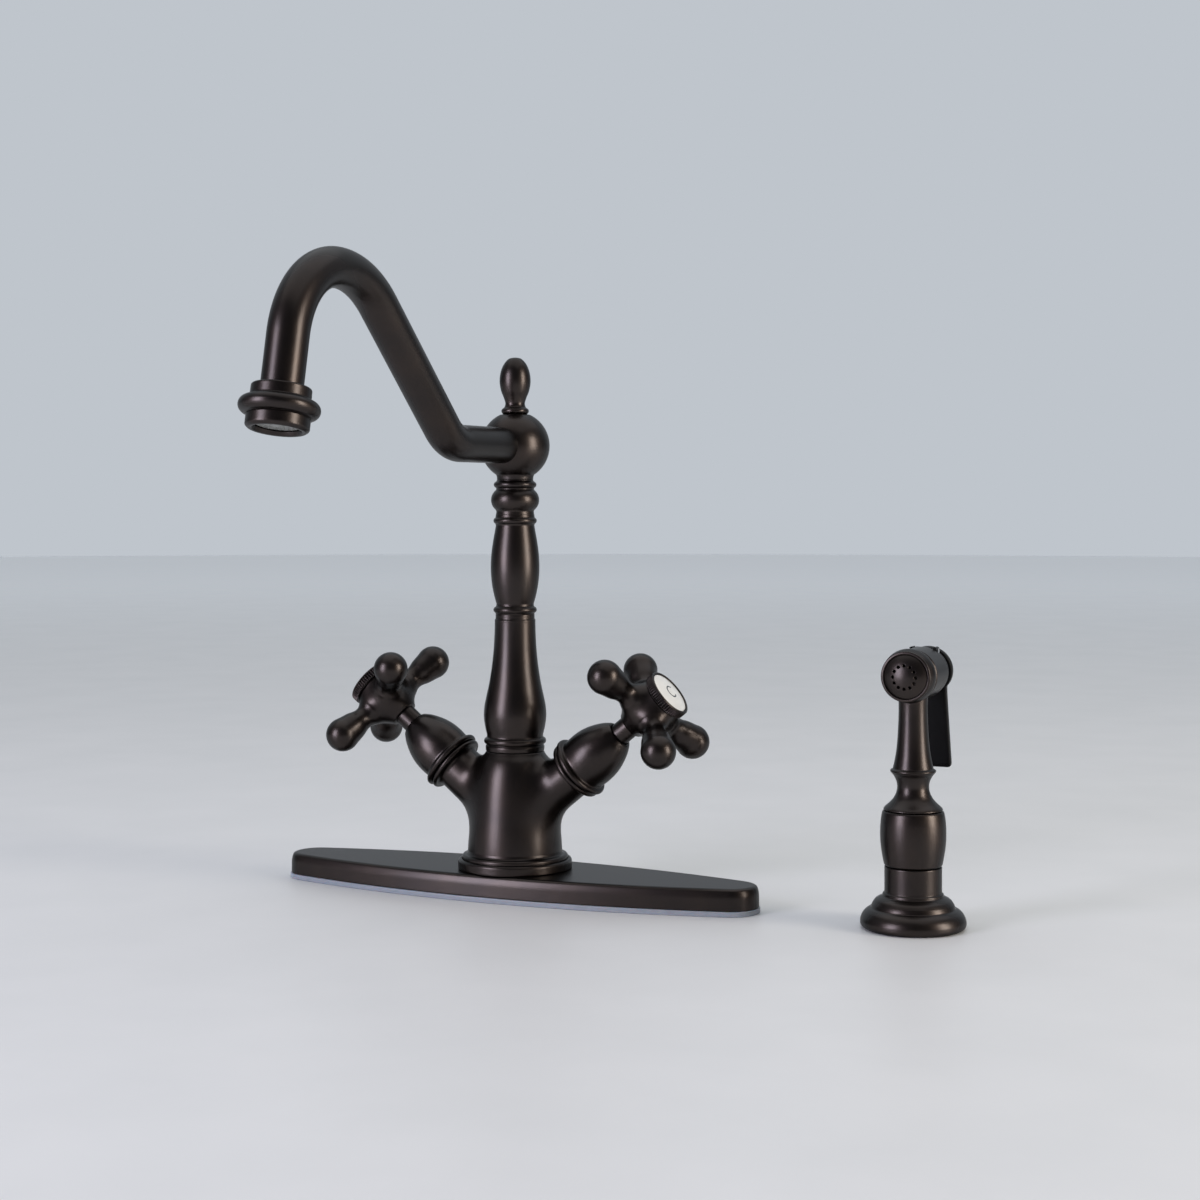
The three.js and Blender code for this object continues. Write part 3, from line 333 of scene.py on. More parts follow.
def hexagon(flat):
    """A nut's six flats as a ripple: no point lies further out than flat / cos of the angle to
    the middle of its side."""
    def ripple(radius, height, turn):
        off = (turn + np.pi / 6) % (np.pi / 3) - np.pi / 6
        return np.minimum(radius, np.maximum(flat / np.cos(off), 0.1) + 0 * radius)
    return ripple


lathe("shank_hexagon_nut", "shank_nut", brass, [
    (22.5, -47), (24.9, -45.8, 0.3), (24.9, -36.2, 0.3), (22.5, -35), (16.4, -35), (16.4, -47)],
    around=192, ring=True, ripple=hexagon(21.6))

# --- Inlets and sprayer outlet -------------------------------------------------------
# Three brass tubes are brazed into the body and hang down through the shank: hot, cold and
# the sprayer's supply. Each ends in a turned nipple with a thread for the line's nut.

for node, x, y in (("hot_inlet", -7.2, 3.5), ("cold_inlet", 7.2, 3.5), ("spray_outlet", 0, -8)):
    lathe(node + "_tube", node, brass, [
        (3.6, -90), (6, -90), *run(6.4, -89.4, -74, 0.22), (6.4, -72, 0.4), (4.75, -70.5, 0.5),
        (4.75, 30.4), (3.6, 30.4)],
        place=placing(x, y), around=64, ring=True, ripple=thread(-89, -75, 1.4, 0.6))

# --- Foot ring -----------------------------------------------------------------------
# A turned bronze ring sits on the cover plate. Its side is straight, and the body's own
# flange stands in the shallow step on its top.

lathe("foot_ring_turned", "base_ring", bronze, [
    (16.4, 12.9), (27.9, 12.9, 0.3), (28.3, 13.3, 0.3), (28.3, 16.9, 0.4), (27.7, 17.7, 0.3),
    (26.5, 17.9, 0.2), (26.4, 16.9), (16.4, 16.9)], ring=True, around=144)

# --- Faucet body ---------------------------------------------------------------------
# One bronze casting: a waisted trunk on a flange, and two valve arms that rise from it at 39
# degrees and flow into it with soft fillets. Each arm ends in a bead under its bonnet.

ARM_RISE = np.radians(39)
ARM_ROOT = 35.6
arm_along, arm_across = np.cos(ARM_RISE), np.sin(ARM_RISE)


def on_arm(side):
    """A placing in an arm's frame, whose +Z runs out along the arm: a turn about Y by 51 degrees."""
    def placed(points):
        x, y, z = np.moveaxis(points, -1, 0)
        return np.stack([x * arm_across + side * z * arm_along, y,
                         ARM_ROOT - side * x * arm_along + z * arm_across], axis=-1)
    return placed


SMOOTH = 9  # a cut longer than any side, so that a point is only part of a curve


def through(points, steps=8):
    """A smooth curve through points: on each stretch the cubic whose slope at a point is half
    the way between its two neighbours."""
    p = np.pad(np.array(points, float), ((1, 1), (0, 0)), mode="edge")
    a, b, c, d = (p[i:len(p) - 3 + i, None] for i in range(4))
    t = np.linspace(0, 1, steps, endpoint=False)[None, :, None]
    squared = a - 2.5 * b + 2 * c - d / 2
    cubed = 1.5 * b - a / 2 - 1.5 * c + d / 2
    curve = b + (c - a) * t / 2 + squared * t ** 2 + cubed * t ** 3
    return [(*point, SMOOTH) for point in [*curve.reshape(-1, 2).tolist(), points[-1]]]


def bow(across, up, size, start, stop, steps=14):
    """Points on a circular arc about (across, up), by angle in degrees."""
    angle = np.radians(np.linspace(start, stop, steps))
    return [(x, y, SMOOTH) for x, y in zip(across + size * np.cos(angle), up + size * np.sin(angle))]


def blended(first, second, reach):
    """The lower of two distances, less (reach - |a - b|)^2 / (4 reach) where they differ by less
    than reach. It rounds the inner corner where two solids meet."""
    near = np.maximum(reach - np.abs(first - second), 0)
    return np.minimum(first, second) - near ** 2 / (4 * reach)


trunk_line = np.array(through([(23.5, 16), (23.4, 23), (22.9, 30), (22.2, 37), (21.3, 46), (20.3, 54),
                               (19, 61), (17, 66.5), (14.9, 69.8), (13.9, 72)]))


def casting(points):
    """Distance outside the body: from the trunk, its radius at that height, and from each arm,
    its radius that far along, with a round inner end, blended over 8 mm. An arm's radius grows
    from 11.7 mm by 2 mm, with the square of the way from 31 mm out to 4 mm."""
    x, y, z = np.moveaxis(points, -1, 0)
    solid = np.maximum(np.hypot(x, y) - np.interp(z, trunk_line[:, 1], trunk_line[:, 0]), z - 71)
    for side in (1, -1):
        along = side * x * arm_along + (z - ARM_ROOT) * arm_across
        off = (z - ARM_ROOT) * arm_along - side * x * arm_across
        radius = 11.7 + 2 * np.clip((31 - along) / 27, 0, 1) ** 2
        arm = np.sqrt(off ** 2 + y ** 2 + np.minimum(along, 0) ** 2) - radius
        solid = blended(solid, np.maximum(arm, along - 42.2), 8)
    return np.maximum(solid, 17.4 - z)


def seen_from(centre, distance, rows, columns, furthest):
    """A surface met by rays from a centre, by turn and by fall from the vertical. Each ray's
    length is halved in on, forty times, between inside and outside."""
    fall = np.linspace(0, np.pi, rows)[:, None]
    turn = circle(columns)[None]
    ray = spun(np.sin(fall), np.cos(fall), turn)
    inside, outside = np.zeros((rows, columns, 1)), np.full((rows, columns, 1), furthest)
    for _ in range(40):
        middle = (inside + outside) / 2
        out = distance(centre + ray * middle)[..., None] > 0
        inside, outside = np.where(out, inside, middle), np.where(out, middle, outside)
    return centre + ray * inside


foot_flange = turned([(0, 17), (25.8, 17, 0.3), (26.3, 17.8, 0.3), (26.3, 19.2, 0.4), (25.6, 20, 0.4),
                      (24.2, 20.2, 0.3), (23.6, 20.9, 0.6), (23.4, 22.2), (0, 22.2)], around=144)
arm_beads = [turned([(0, 38), (11.5, 38, 0.2), (11.9, 41.2, 0.8), *bow(13.9, 43.05, 1.35, -110, 80),
                     (12.5, 44.4), (0, 44.4)], place=on_arm(side), around=120) for side in (1, -1)]
build("body_casting", [skin(seen_from(np.array([0, 0, ARM_ROOT]), casting, 181, 360, 70.0)), foot_flange,
                       *arm_beads], bronze, "faucet_body")

# --- Diverter ------------------------------------------------------------------------
# A moulded acetal plug stands in the body's mixing chamber. It sends the water to the
# sprayer while the sprayer's lever is pressed.


def keep(finish, *nodes):
    """Gives nodes that keep their solid a finish."""
    for node in nodes:
        solid = frame["nodes"][node]
        for slot in solid.material_slots:
            slot.material = finish


# White acetal: moulded, waxy and slightly uneven in tone.
white_acetal, place = new_finish("white_acetal")
waxy = mottled(white_acetal, place, 200, 2, "#dedcd4", "#ebe9e2")
show(white_acetal, {
    "Base Color": waxy, "Roughness": 0.38, "IOR": 1.48, "Subsurface Weight": 0.1,
    "Subsurface Scale": 0.001})
keep(white_acetal, "diverter")

# --- Valve cartridges ----------------------------------------------------------------
# Each arm holds a quarter-turn valve: a brass housing with one ceramic disc fixed in it and
# one that turns with the stem. The stem's collar shows between bonnet and handle.

# Alumina ceramic: ground flat, off-white, matt with a slight sheen.
ceramic, place = new_finish("ground_alumina")
chalky = mottled(ceramic, place, 1500, 3, "#e6e1d6", "#f1ede4")
show(ceramic, {"Base Color": chalky, "Roughness": 0.3, "IOR": 1.76})
keep(brass, "hot_cartridge", "cold_cartridge")
keep(ceramic, "hot_fixed_disc", "cold_fixed_disc", "hot_moving_disc", "cold_moving_disc")
keep(stainless, "hot_handle_screw", "cold_handle_screw")

for name, side in (("hot", -1), ("cold", 1)):
    lathe(name + "_stem_turned", name + "_stem", bronze, [
        (0, 30.1), (6.4, 30.1), (6.4, 33.1), (4.2, 33.6), (4.2, 64), (5.6, 65.5), (5.6, 83, 0.3),
        (3.6, 83), (3.6, 93.7), (2.2, 93.7), (2.2, 85), (0, 85)], place=on_arm(side), around=64)

# --- Bonnets -------------------------------------------------------------------------
# A bell-shaped cover, turned from brass, screws on each arm over the valve. A bead at its
# mouth lies against the arm's bead, and its crown closes on the stem with a narrow rim.

for name, side in (("hot", -1), ("cold", 1)):
    lathe(name + "_bonnet_bell", name + "_bonnet", bronze, [
        (12.4, 44.55), *bow(14.65, 46.05, 1.5, -80, 80), (13.9, 47.9, 0.4),
        *through([(13.8, 48.8), (14.05, 53.3), (13.7, 58), (12.7, 62.3), (11.2, 66.2), (9.6, 69.4),
                  (8.3, 71.3)]),
        (7.3, 72.6, 0.5), (6.5, 73.1, 0.2), (5.9, 72.8), (5.9, 70), (9.3, 64), (11.7, 57.1),
        (11.7, 44.7)], place=on_arm(side), around=120, ring=True)

# --- Cross handles -------------------------------------------------------------------
# A bronze casting with four pear-shaped arms that run together round a barrel-shaped hub. Below,
# the hub tapers to the stem, whose splines it sits on. The index ring stands on its flat top.

KNOB_LEVEL, KNOB_REACH, KNOB_RADIUS = 93.0, 31, 8.45


def cross(points):
    """Distance outside the cross, about its middle. The hub's radius falls with the square of
    the height, and a cone cuts it below, with the edge rounded. Each of four arms is a neck,
    widening towards the hub with the square of the distance, blended into a ball at its end,
    inside which it shrinks away."""
    x, y, z = np.moveaxis(points, -1, 0)
    barrel = np.hypot(x, y) - 12.2 + 0.012 * z ** 2
    cone = (np.hypot(x, y) - 12 - 0.62 * (z + 4.3)) / np.hypot(1, 0.62)
    solid = -blended(-barrel, -cone, 2.5)
    for quarter in range(4):
        angle = np.pi / 4 + quarter * np.pi / 2
        along = x * np.cos(angle) + y * np.sin(angle)
        off = np.hypot(y * np.cos(angle) - x * np.sin(angle), z)
        shrunk = 14 * np.clip((along - KNOB_REACH + 10) / 12, 0, 1) ** 2
        neck = off - 5.1 - 0.02 * np.clip(21 - along, 0, 8) ** 2 + shrunk
        arm = blended(neck, np.hypot(off, along - KNOB_REACH) - KNOB_RADIUS, 9)
        solid = blended(solid, np.maximum(arm, -along), 6)
    return solid


def drawn_onto(points, distance):
    """Moves points onto the surface where a distance is zero, in ten steps of distance / slope
    against the slope, which comes from differences over a thousandth of a millimetre."""
    step = 1e-3
    for _ in range(10):
        here = distance(points)
        slope = np.stack([(distance(points + step * axis) - distance(points - step * axis)) / (2 * step)
                          for axis in np.eye(3)], axis=-1)
        points = points - (here / np.maximum(np.sum(slope ** 2, axis=-1), 0.2))[..., None] * slope
    return points


def cross_arm(quarter):
    """A quarter of the cross as rows from its seams to the tip of the knob, columns round the arm.

    The first row runs round a panel of the hub, 45 degrees to each side, 12.4 mm down and 9.2 up.
    The next rows pass evenly to a circle round the neck, and the last follow the arm and the ball,
    from whichever is wider, the ball's circle or the neck's: their squares are 71.4 and 29.
    """
    turn = circle(96)[None]
    sideways = np.pi / 4 * np.clip(np.sqrt(2) * np.cos(turn), -1, 1)
    level = 10.8 * np.clip(np.sqrt(2) * np.sin(turn), -1, 1) - 1.6
    waist = 11 - 4 * np.clip((-5 - level) / 7.4, 0, 1)
    panel = spun(waist, level, sideways)
    neck = np.stack([15 + 0 * turn, 5.3 * np.cos(turn), 5.3 * np.sin(turn)], axis=-1)
    part = np.linspace(0, 1, 26)[:, None, None]
    root = panel * (1 - part) + neck * part
    stretch = np.linspace(15.5, KNOB_REACH, 30)
    ball = np.linspace(0.06, np.pi / 2, 24)
    narrow = np.sqrt(np.maximum(71.4 - (KNOB_REACH - stretch) ** 2, 29))
    reach = np.r_[stretch, KNOB_REACH + KNOB_RADIUS * np.sin(ball)][:, None]
    size = np.r_[narrow, KNOB_RADIUS * np.cos(ball) + 1e-4][:, None]
    arm = np.stack([reach + 0 * turn, size * np.cos(turn), size * np.sin(turn)], axis=-1)
    x, y, z = np.moveaxis(np.vstack([root, arm]), -1, 0)
    angle = np.pi / 4 + quarter * np.pi / 2
    points = np.stack([x * np.cos(angle) - y * np.sin(angle), x * np.sin(angle) + y * np.cos(angle), z],
                      axis=-1)
    return drawn_onto(points, cross) + np.array([0, 0, KNOB_LEVEL])


def open_skin(grid):
    """Faces over rows and closed columns. The first row stays open and the last is a point."""
    at, faces = skin(grid)
    rows, columns = grid.shape[:2]
    number = np.arange(2 * columns).reshape(2, columns)
    right = np.roll(number, -1, axis=1)
    band = np.stack([number[0], right[0], right[1], number[1]], axis=-1)
    first = set(range(columns))
    faces = [face for face in faces if not first & set(face)]
    outward = np.cross(at[band[0, 1]] - at[band[0, 0]], at[band[0, 3]] - at[band[0, 0]])
    middle = at[:2 * columns].mean(axis=0)
    if np.dot(outward, at[band[0, 0]] - middle) < 0:
        band = band[:, ::-1]
    return at, faces + band.tolist()


for name, side in (("hot", -1), ("cold", 1)):
    arms = [open_skin(on_arm(side)(cross_arm(quarter))) for quarter in range(4)]
    build(name + "_cross_casting", arms, bronze, name + "_cross_handle", close=True)

# --- Index rings and porcelain buttons -----------------------------------------------
# A knurled bronze ring presses into each handle and holds a domed porcelain button. The left
# one is marked H for hot and the right one C for cold, in thin grey enamel strokes. The 60 teeth
# are a little coarser and deeper than the real knurl, so that they show.

# Porcelain: fired and glazed, so it is white, smooth and very glossy, with a faint unevenness.
porcelain, place = new_finish("glazed_porcelain")
glaze = add(porcelain, "TexNoise", {"Vector": place, "Scale": 250, "Detail": 2})
uneven = add(porcelain, "Bump", {"Height": glaze.outputs["Fac"], "Strength": 0.06, "Distance": 0.0001})
fired = mottled(porcelain, place, 250, 2, "#f1efea", "#f7f6f2")
show(porcelain, {
    "Base Color": fired, "Roughness": 0.12, "IOR": 1.5, "Coat Weight": 0.4, "Coat Roughness": 0.04,
    "Normal": uneven.outputs["Normal"]})

# Enamel: a fired line of dark grey colour, slightly less glossy than the glaze round it.
enamel, place = new_finish("grey_enamel_line")
inked = mottled(enamel, place, 2000, 2, "#3b3f45", "#4c5057")
show(enamel, {"Base Color": inked, "Roughness": 0.3})


def knurl(teeth, depth, low, high):
    """Straight teeth as a ripple: the radius falls by depth times |cos(teeth * turn / 2)| ^ 1.5,
    on the rim only and faded over half a millimetre at both ends."""
    def ripple(radius, height, turn):
        fade = np.clip(np.minimum(height - low, high - height) / 0.5, 0, 1) * (radius > radius.max() - 0.3)
        return radius - depth * fade * np.abs(np.cos(teeth * turn / 2)) ** 1.5
    return ripple


BUTTON_RADIUS = 10.9


def button_height(radius):
    """The button's dome: 1.2 mm high at its middle, falling with the square of the radius."""
    return 106.8 + 1.2 * (1 - (radius / BUTTON_RADIUS) ** 2)


def stroke(line, side):
    """A flat raised line 0.75 mm wide along points on the button, 0.06 mm proud of its dome."""
    way = np.gradient(line, axis=0)
    across = np.stack([-way[:, 1], way[:, 0]], axis=-1) / np.linalg.norm(way, axis=1, keepdims=True)
    corners = [(-0.375, -0.1), (0.375, -0.1), (0.375, 0.06), (-0.375, 0.06)]
    grid = np.stack([np.column_stack([line + w * across, button_height(np.linalg.norm(line, axis=1)) + h])
                     for w, h in corners], axis=1)
    return skin(on_arm(side)(grid), ends="flat")


def straight(start, stop):
    """Twelve points from start to stop."""
    return np.linspace(start, stop, 12)


half_ring = np.radians(np.linspace(42, 318, 48))
letters = {
    "hot": [straight((-3, -2.3), (3, -2.3)), straight((-3, 2.3), (3, 2.3)), straight((0, -2.3), (0, 2.3))],
    "cold": [np.stack([3 * np.sin(half_ring), 3 * np.cos(half_ring)], axis=-1)],
}
for name, side in (("hot", -1), ("cold", 1)):
    lathe(name + "_index_ring_knurled", name + "_index_ring", bronze, [
        (0, 100.6), (6, 100.6), (6, 102.5), (11.4, 102.5, 0.3), (11.9, 102.9, 0.3),
        *run(12.5, 103.2, 106.7, 0.22), (12.1, 107.1, 0.3), (11.6, 107.4, 0.3), (11.1, 107.2),
        (11, 105.6), (0, 105.6)], place=on_arm(side), around=600, ripple=knurl(60, 1, 103, 106.9))
    dome = [(r, button_height(r), SMOOTH) for r in np.linspace(BUTTON_RADIUS, 0, 24)]
    lathe(name + "_index_button", name + "_index_disc", porcelain, [
        (0, 105.9), (BUTTON_RADIUS, 105.9), *dome], place=on_arm(side))
    build(name + "_index_letter", [stroke(line, side) for line in letters[name]], enamel,
          name + "_index_disc")

# --- Spigot of the post --------------------------------------------------------------
# A brass spigot screws into the top of the body, and the post turns on it. An O-ring seals
# it, and a black washer under the post's foot keeps it off the casting.

keep(brass, "spout_stem")
keep(rubber, "stem_o_ring")
lathe("swivel_bearing_washer", "swivel_washer", rubber, [
    (13, 71, 0.1), (13, 71.8, 0.1), (9.3, 71.8), (9.3, 71)], ring=True)

# --- Turned post ---------------------------------------------------------------------
# Three turned bronze sleeves stack on a brass water tube: a vase on a banded foot, a slim
# baluster between two beads, and a ball collar. A set screw behind holds the post down.

keep(brass, "column_tube")
lathe("post_vase", "column_lower", bronze, [
    (9.3, 72), (13.3, 72), (13.3, 71.2), (14.5, 71.2, 0.2), (14.7, 73.4, 0.6), (14.1, 74.2, 0.3),
    *bow(13.7, 76, 1.75, -72, 76), (13.9, 78.3, 0.4),
    *through([(14.1, 79.6), (15, 83.5), (15.55, 88.5), (15.2, 93.5), (14.2, 98.5), (12.9, 104.5),
              (11.7, 112), (10.8, 120), (10.3, 128), (10.1, 135)]),
    (10.15, 136, 0.3), (9.7, 136.6, 0.3), (9.7, 138.75, 0.1), (6.6, 138.75), (6.6, 98), (9.3, 98)],
    ring=True)
lathe("post_baluster", "column_upper", bronze, [
    (6.6, 138.75), (9.6, 138.75, 0.1), *bow(9.2, 141, 1.6, -68, 70), (9.35, 143, 0.3),
    *through([(9.3, 144), (10.4, 148), (11.4, 153), (12, 158.5), (12.1, 163.5), (11.8, 169), (11, 175),
              (10.1, 180), (9.6, 183)]),
    *bow(9.2, 185.3, 1.6, -66, 66), (9.7, 187.4, 0.2), (9.6, 188.45, 0.1), (6.6, 188.45)], ring=True)
lathe("post_ball_collar", "column_collar", bronze, [
    (6.6, 188.45), (9.5, 188.45, 0.1), (9.3, 190, 0.3), *bow(5.7, 195.6, 6.3, -50, 52),
    (9.3, 201.2, 0.3), *bow(9.1, 203.2, 1.55, -66, 66), (9.1, 205.2, 0.2), (9, 205.75), (6.6, 205.75)],
    ring=True)

SET_SCREW_HEIGHT = 75.2


def facing_back(points):
    """A placing for the screw in the back of the post: its +Z points along +Y."""
    x, y, z = np.moveaxis(points, -1, 0)
    return np.stack([-x, z, y + SET_SCREW_HEIGHT], axis=-1)


def hexagon_socket(radius, height, turn):
    """The screw's socket as a ripple: six flats, at 0.93 of the radius / cos of the angle to the
    middle of a side."""
    off = (turn + np.pi / 6) % (np.pi / 3) - np.pi / 6
    return np.where((radius < 1.15) & (height > 12.5), radius * 0.93 / np.cos(off), radius + 0 * turn)


lathe("post_grub_screw", "spout_set_screw", stainless, [
    (0, 7.9), (1.8, 7.9, 0.2), (2, 8.6), (2, 14.2, 0.3), (1.2, 14.5), (1.1, 14.4), (1.05, 13), (0, 13)],
    place=facing_back, around=48, ripple=hexagon_socket)

# --- Ball hub and finial -------------------------------------------------------------
# The spout leaves from a hollow bronze ball on top of the post. A finial like a small vase
# with a bead at its foot screws into the ball's flat top.

lathe("spout_ball", "spout_hub", bronze, [
    (0, 205.75), (9, 205.75, 0.1), (9.1, 207.1, 0.3), *bow(0, 222.5, 17.2, -57, 64.5, 60),
    (6.9, 238.1, 0.3), (0, 238.1)], around=128)
lathe("post_finial", "finial", bronze, [
    (0, 232.1), (3, 232.1), (3, 238.1), (5.9, 238.1, 0.2), *bow(5.3, 239.8, 1.55, -60, 66),
    (5.4, 241.6, 0.3),
    *through([(5, 242.6), (4.9, 244), (5.7, 246.6), (6.9, 249.6), (7.65, 253.4), (7.6, 257),
              (6.8, 260.6), (5.3, 263.6), (3.2, 265.8), (1.2, 266.4)]),
    (0, 266.5)], around=80)

# --- Spout tube ----------------------------------------------------------------------
# Drawn brass tube, 17.7 mm across, bent in one plane: out of the ball, up at 41.5 degrees,
# over a crown, and down to the outlet. It is brazed into the ball and into the outlet collar.

SPOUT_START = (-8.5, 222.4)
SPOUT_RUNS = [(49.8, 0), (27, 41.5), (78.5, 0), (52, -41.5), (39, -78), (28.1, 0)]
TUBE_RADIUS, TUBE_BORE = 8.85, 7.25


def spout_line():
    """The tube's centre line in the Y-Z plane: each entry is a straight run (length, 0) or a bend
    (radius, degrees). On a bend the heading grows evenly and the point moves round the circle."""
    y, z, heading = *SPOUT_START, 0.0
    points = []
    for size, turn in SPOUT_RUNS:
        part = np.linspace(0, 1, 36 if turn else max(int(size / 2.5), 6))
        if turn:
            radius = np.sign(turn) * size
            headings = heading + np.radians(turn) * part
            ys = y - radius * (np.sin(headings) - np.sin(heading))
            zs = z + radius * (np.cos(heading) - np.cos(headings))
        else:
            headings = np.full(len(part), heading)
            ys = y - size * part * np.cos(heading)
            zs = z + size * part * np.sin(heading)
        points.append(np.stack([ys, zs, headings], axis=-1)[1 if points else 0:])
        y, z, heading = ys[-1], zs[-1], headings[-1]
    return np.vstack(points)


def carried(line, radius, around=72):
    """A circle carried along the line: centre + radius (cos t along X + sin t square to the line)."""
    turn = circle(around)[None]
    y, z, heading = line[:, :1], line[:, 1:2], line[:, 2:]
    return np.stack([radius * np.cos(turn) + 0 * y, y + radius * np.sin(turn) * np.sin(heading),
                     z + radius * np.sin(turn) * np.cos(heading)], axis=-1)


tube_line = spout_line()
tube_walls = np.vstack([carried(tube_line, TUBE_RADIUS), carried(tube_line, TUBE_BORE)[::-1]])
build("spout_drawn_tube", [skin(tube_walls, ends="loop")], bronze, "spout_tube")

# --- Outlet and aerator --------------------------------------------------------------
# A turned collar with a fat bead trims the end of the tube. The aerator's bronze housing
# screws into it from below and holds a grey plastic insert with three rings of jets.

# The outlet's frame stands in the middle of the bead, and its +Z runs back up the tube.
BEAD_PAST_TUBE = 3
tube_end_y, tube_end_z, tube_end_heading = tube_line[-1]
outlet_y = tube_end_y - BEAD_PAST_TUBE * np.cos(tube_end_heading)
outlet_z = tube_end_z + BEAD_PAST_TUBE * np.sin(tube_end_heading)
on_outlet = placing(0, outlet_y, outlet_z, tilt=-12)

lathe("outlet_trim", "outlet_collar", bronze, [
    (9.15, 9), (11.9, 9, 0.3), (12.4, 8.5, 0.3), (12.5, 4.1, 0.4), *bow(13.3, 0.2, 3.5, 74, -78, 22),
    (13.3, -3.6, 0.1), (10.7, -3.6), (10.7, 1.6), (7.55, 1.6), (7.55, 2.7), (9.15, 2.7)],
    place=on_outlet, ring=True, around=120)
lathe("aerator_shell", "aerator_housing", bronze, [
    (11.8, -9.2, 0.4), (13.15, -8.1, 0.6), (13.15, -3.65, 0.1), (10.4, -3.65), (10.4, -0.1),
    (9.6, -0.1), (9.6, -7.35), (9.3, -7.5, 0.2), (10.3, -9.1, 0.4)],
    place=on_outlet, ring=True, around=120)

# Grey acetal: moulded light grey plastic, even and half matt.
grey_acetal, place = new_finish("grey_acetal")
pale = mottled(grey_acetal, place, 700, 2, "#7b7d7a", "#8a8b87")
show(grey_acetal, {"Base Color": pale, "Roughness": 0.42, "IOR": 1.48})


def pierced(grid, centres, radius, depth):
    """Sinks round holes into a disc: a point goes up by depth, or down if that is negative, where it
    is nearer than radius to a centre. A hole's side is 0.15 mm wide."""
    gap = np.linalg.norm(grid[..., None, :2] - centres, axis=-1).min(axis=-1)
    sunk = grid.copy()
    sunk[..., 2] += depth * np.clip((radius - gap) / 0.15 + 0.5, 0, 1)
    return sunk


def jets(counts):
    """Centres on rings: a (count, radius) pair for each ring."""
    return np.array([(r * np.cos(2 * np.pi * i / n), r * np.sin(2 * np.pi * i / n))
                     for n, r in counts for i in range(n)])


disc_turn = circle(288)[None]
disc_radius = np.linspace(0, 9.3, 64)[:, None]
under = spun(disc_radius, -7 - 0.6 * np.exp(-(disc_radius / 3) ** 2), disc_turn)
under = pierced(under, jets([(6, 3.2), (12, 5.6), (18, 7.9)]), 0.62, 1.4)
back = spun(disc_radius[::-1], -0.4, disc_turn)
build("aerator_jets", [skin(on_outlet(np.vstack([under, back])))], grey_acetal, "aerator_insert")
keep(rubber, "aerator_washer")

# --- Sprayer holder ------------------------------------------------------------------
# A turned bronze rosette with a sleeve stands on the worktop over its own hole. Its threaded
# shank takes a washer and nut below, and a black plastic bush lines the sleeve.

SPRAYER_X = 203.2
at_sprayer = placing(SPRAYER_X)


def shank_thread(radius, height, turn):
    """The thread of the holder's shank as a ripple: a triangle wave 0.8 mm deep, 2 mm a turn."""
    wave = np.abs(2 * ((height / 2 - turn / (2 * np.pi)) % 1) - 1)
    on_shank = (radius > 12.2) & (radius < 12.6) & (height < -0.5)
    return np.where(on_shank, radius - 0.8 * wave, radius + 0 * turn)


lathe("holder_rosette", "spray_guide", bronze, [
    (22.5, 0, 0.3), (23.8, 0.9, 0.8),
    *through([(24.15, 2), (24.1, 3.8), (23.4, 5.8), (22.2, 7.5), (20.6, 8.7)]),
    (19.2, 9.3, 0.3), (18.9, 10.4, 0.3),
    *through([(18.5, 11.3), (17.3, 12.9), (15.7, 13.9), (14.6, 14.4)]),
    (13.9, 14.8, 0.3), (13.9, 15.8, 0.3), (13.1, 16.4, 0.2), (13.1, 28.1, 0.3), (11.3, 28.1),
    (11.3, 13), (10, 13), (10, -52), (11.8, -52, 0.3), *run(12.4, -51.4, -1, 0.33), (12.4, 0)],
    place=at_sprayer, ring=True, around=128, ripple=shank_thread)

# Black ABS: moulded, deep black, half matt, with a very fine spark-eroded grain.
black_abs, place = new_finish("black_abs")
sparks = add(black_abs, "TexNoise", {"Vector": place, "Scale": 3500, "Detail": 2})
textured = add(black_abs, "Bump", {"Height": sparks.outputs["Fac"], "Strength": 0.1, "Distance": 0.00003})
handled = add(black_abs, "TexNoise", {"Vector": place, "Scale": 90})
sheen = add(black_abs, "MapRange", {"Value": handled.outputs["Fac"], "To Min": 0.34, "To Max": 0.46})
deep = mottled(black_abs, place, 3500, 2, "#070708", "#0c0c0d")
show(black_abs, {
    "Base Color": deep, "Roughness": sheen.outputs["Result"], "Specular IOR Level": 0.14,
    "Normal": textured.outputs["Normal"]})

lathe("holder_bush", "guide_bush", black_abs, [
    (11, 13.3), (11, 27.8, 0.3), (9.4, 27.8, 0.5), (9.4, 13.3)], place=at_sprayer, ring=True)
lathe("holder_steel_washer", "guide_washer", stainless, [
    (22, -32, 0.3), (22, -30, 0.3), (12.7, -30), (12.7, -32)], place=at_sprayer, ring=True)
lathe("holder_hexagon_nut", "guide_nut", brass, [
    (16.4, -40), (17.9, -39, 0.3), (17.9, -33, 0.3), (16.4, -32), (12.7, -32), (12.7, -40)],
    place=at_sprayer, around=192, ring=True, ripple=hexagon(15.5))

# --- Sprayer grip and neck -----------------------------------------------------------
# A barrel-shaped grip and a long neck, both turned in bronze, screw together. The brass
# coupling under the grip takes the hose and drops into the holder's bush.

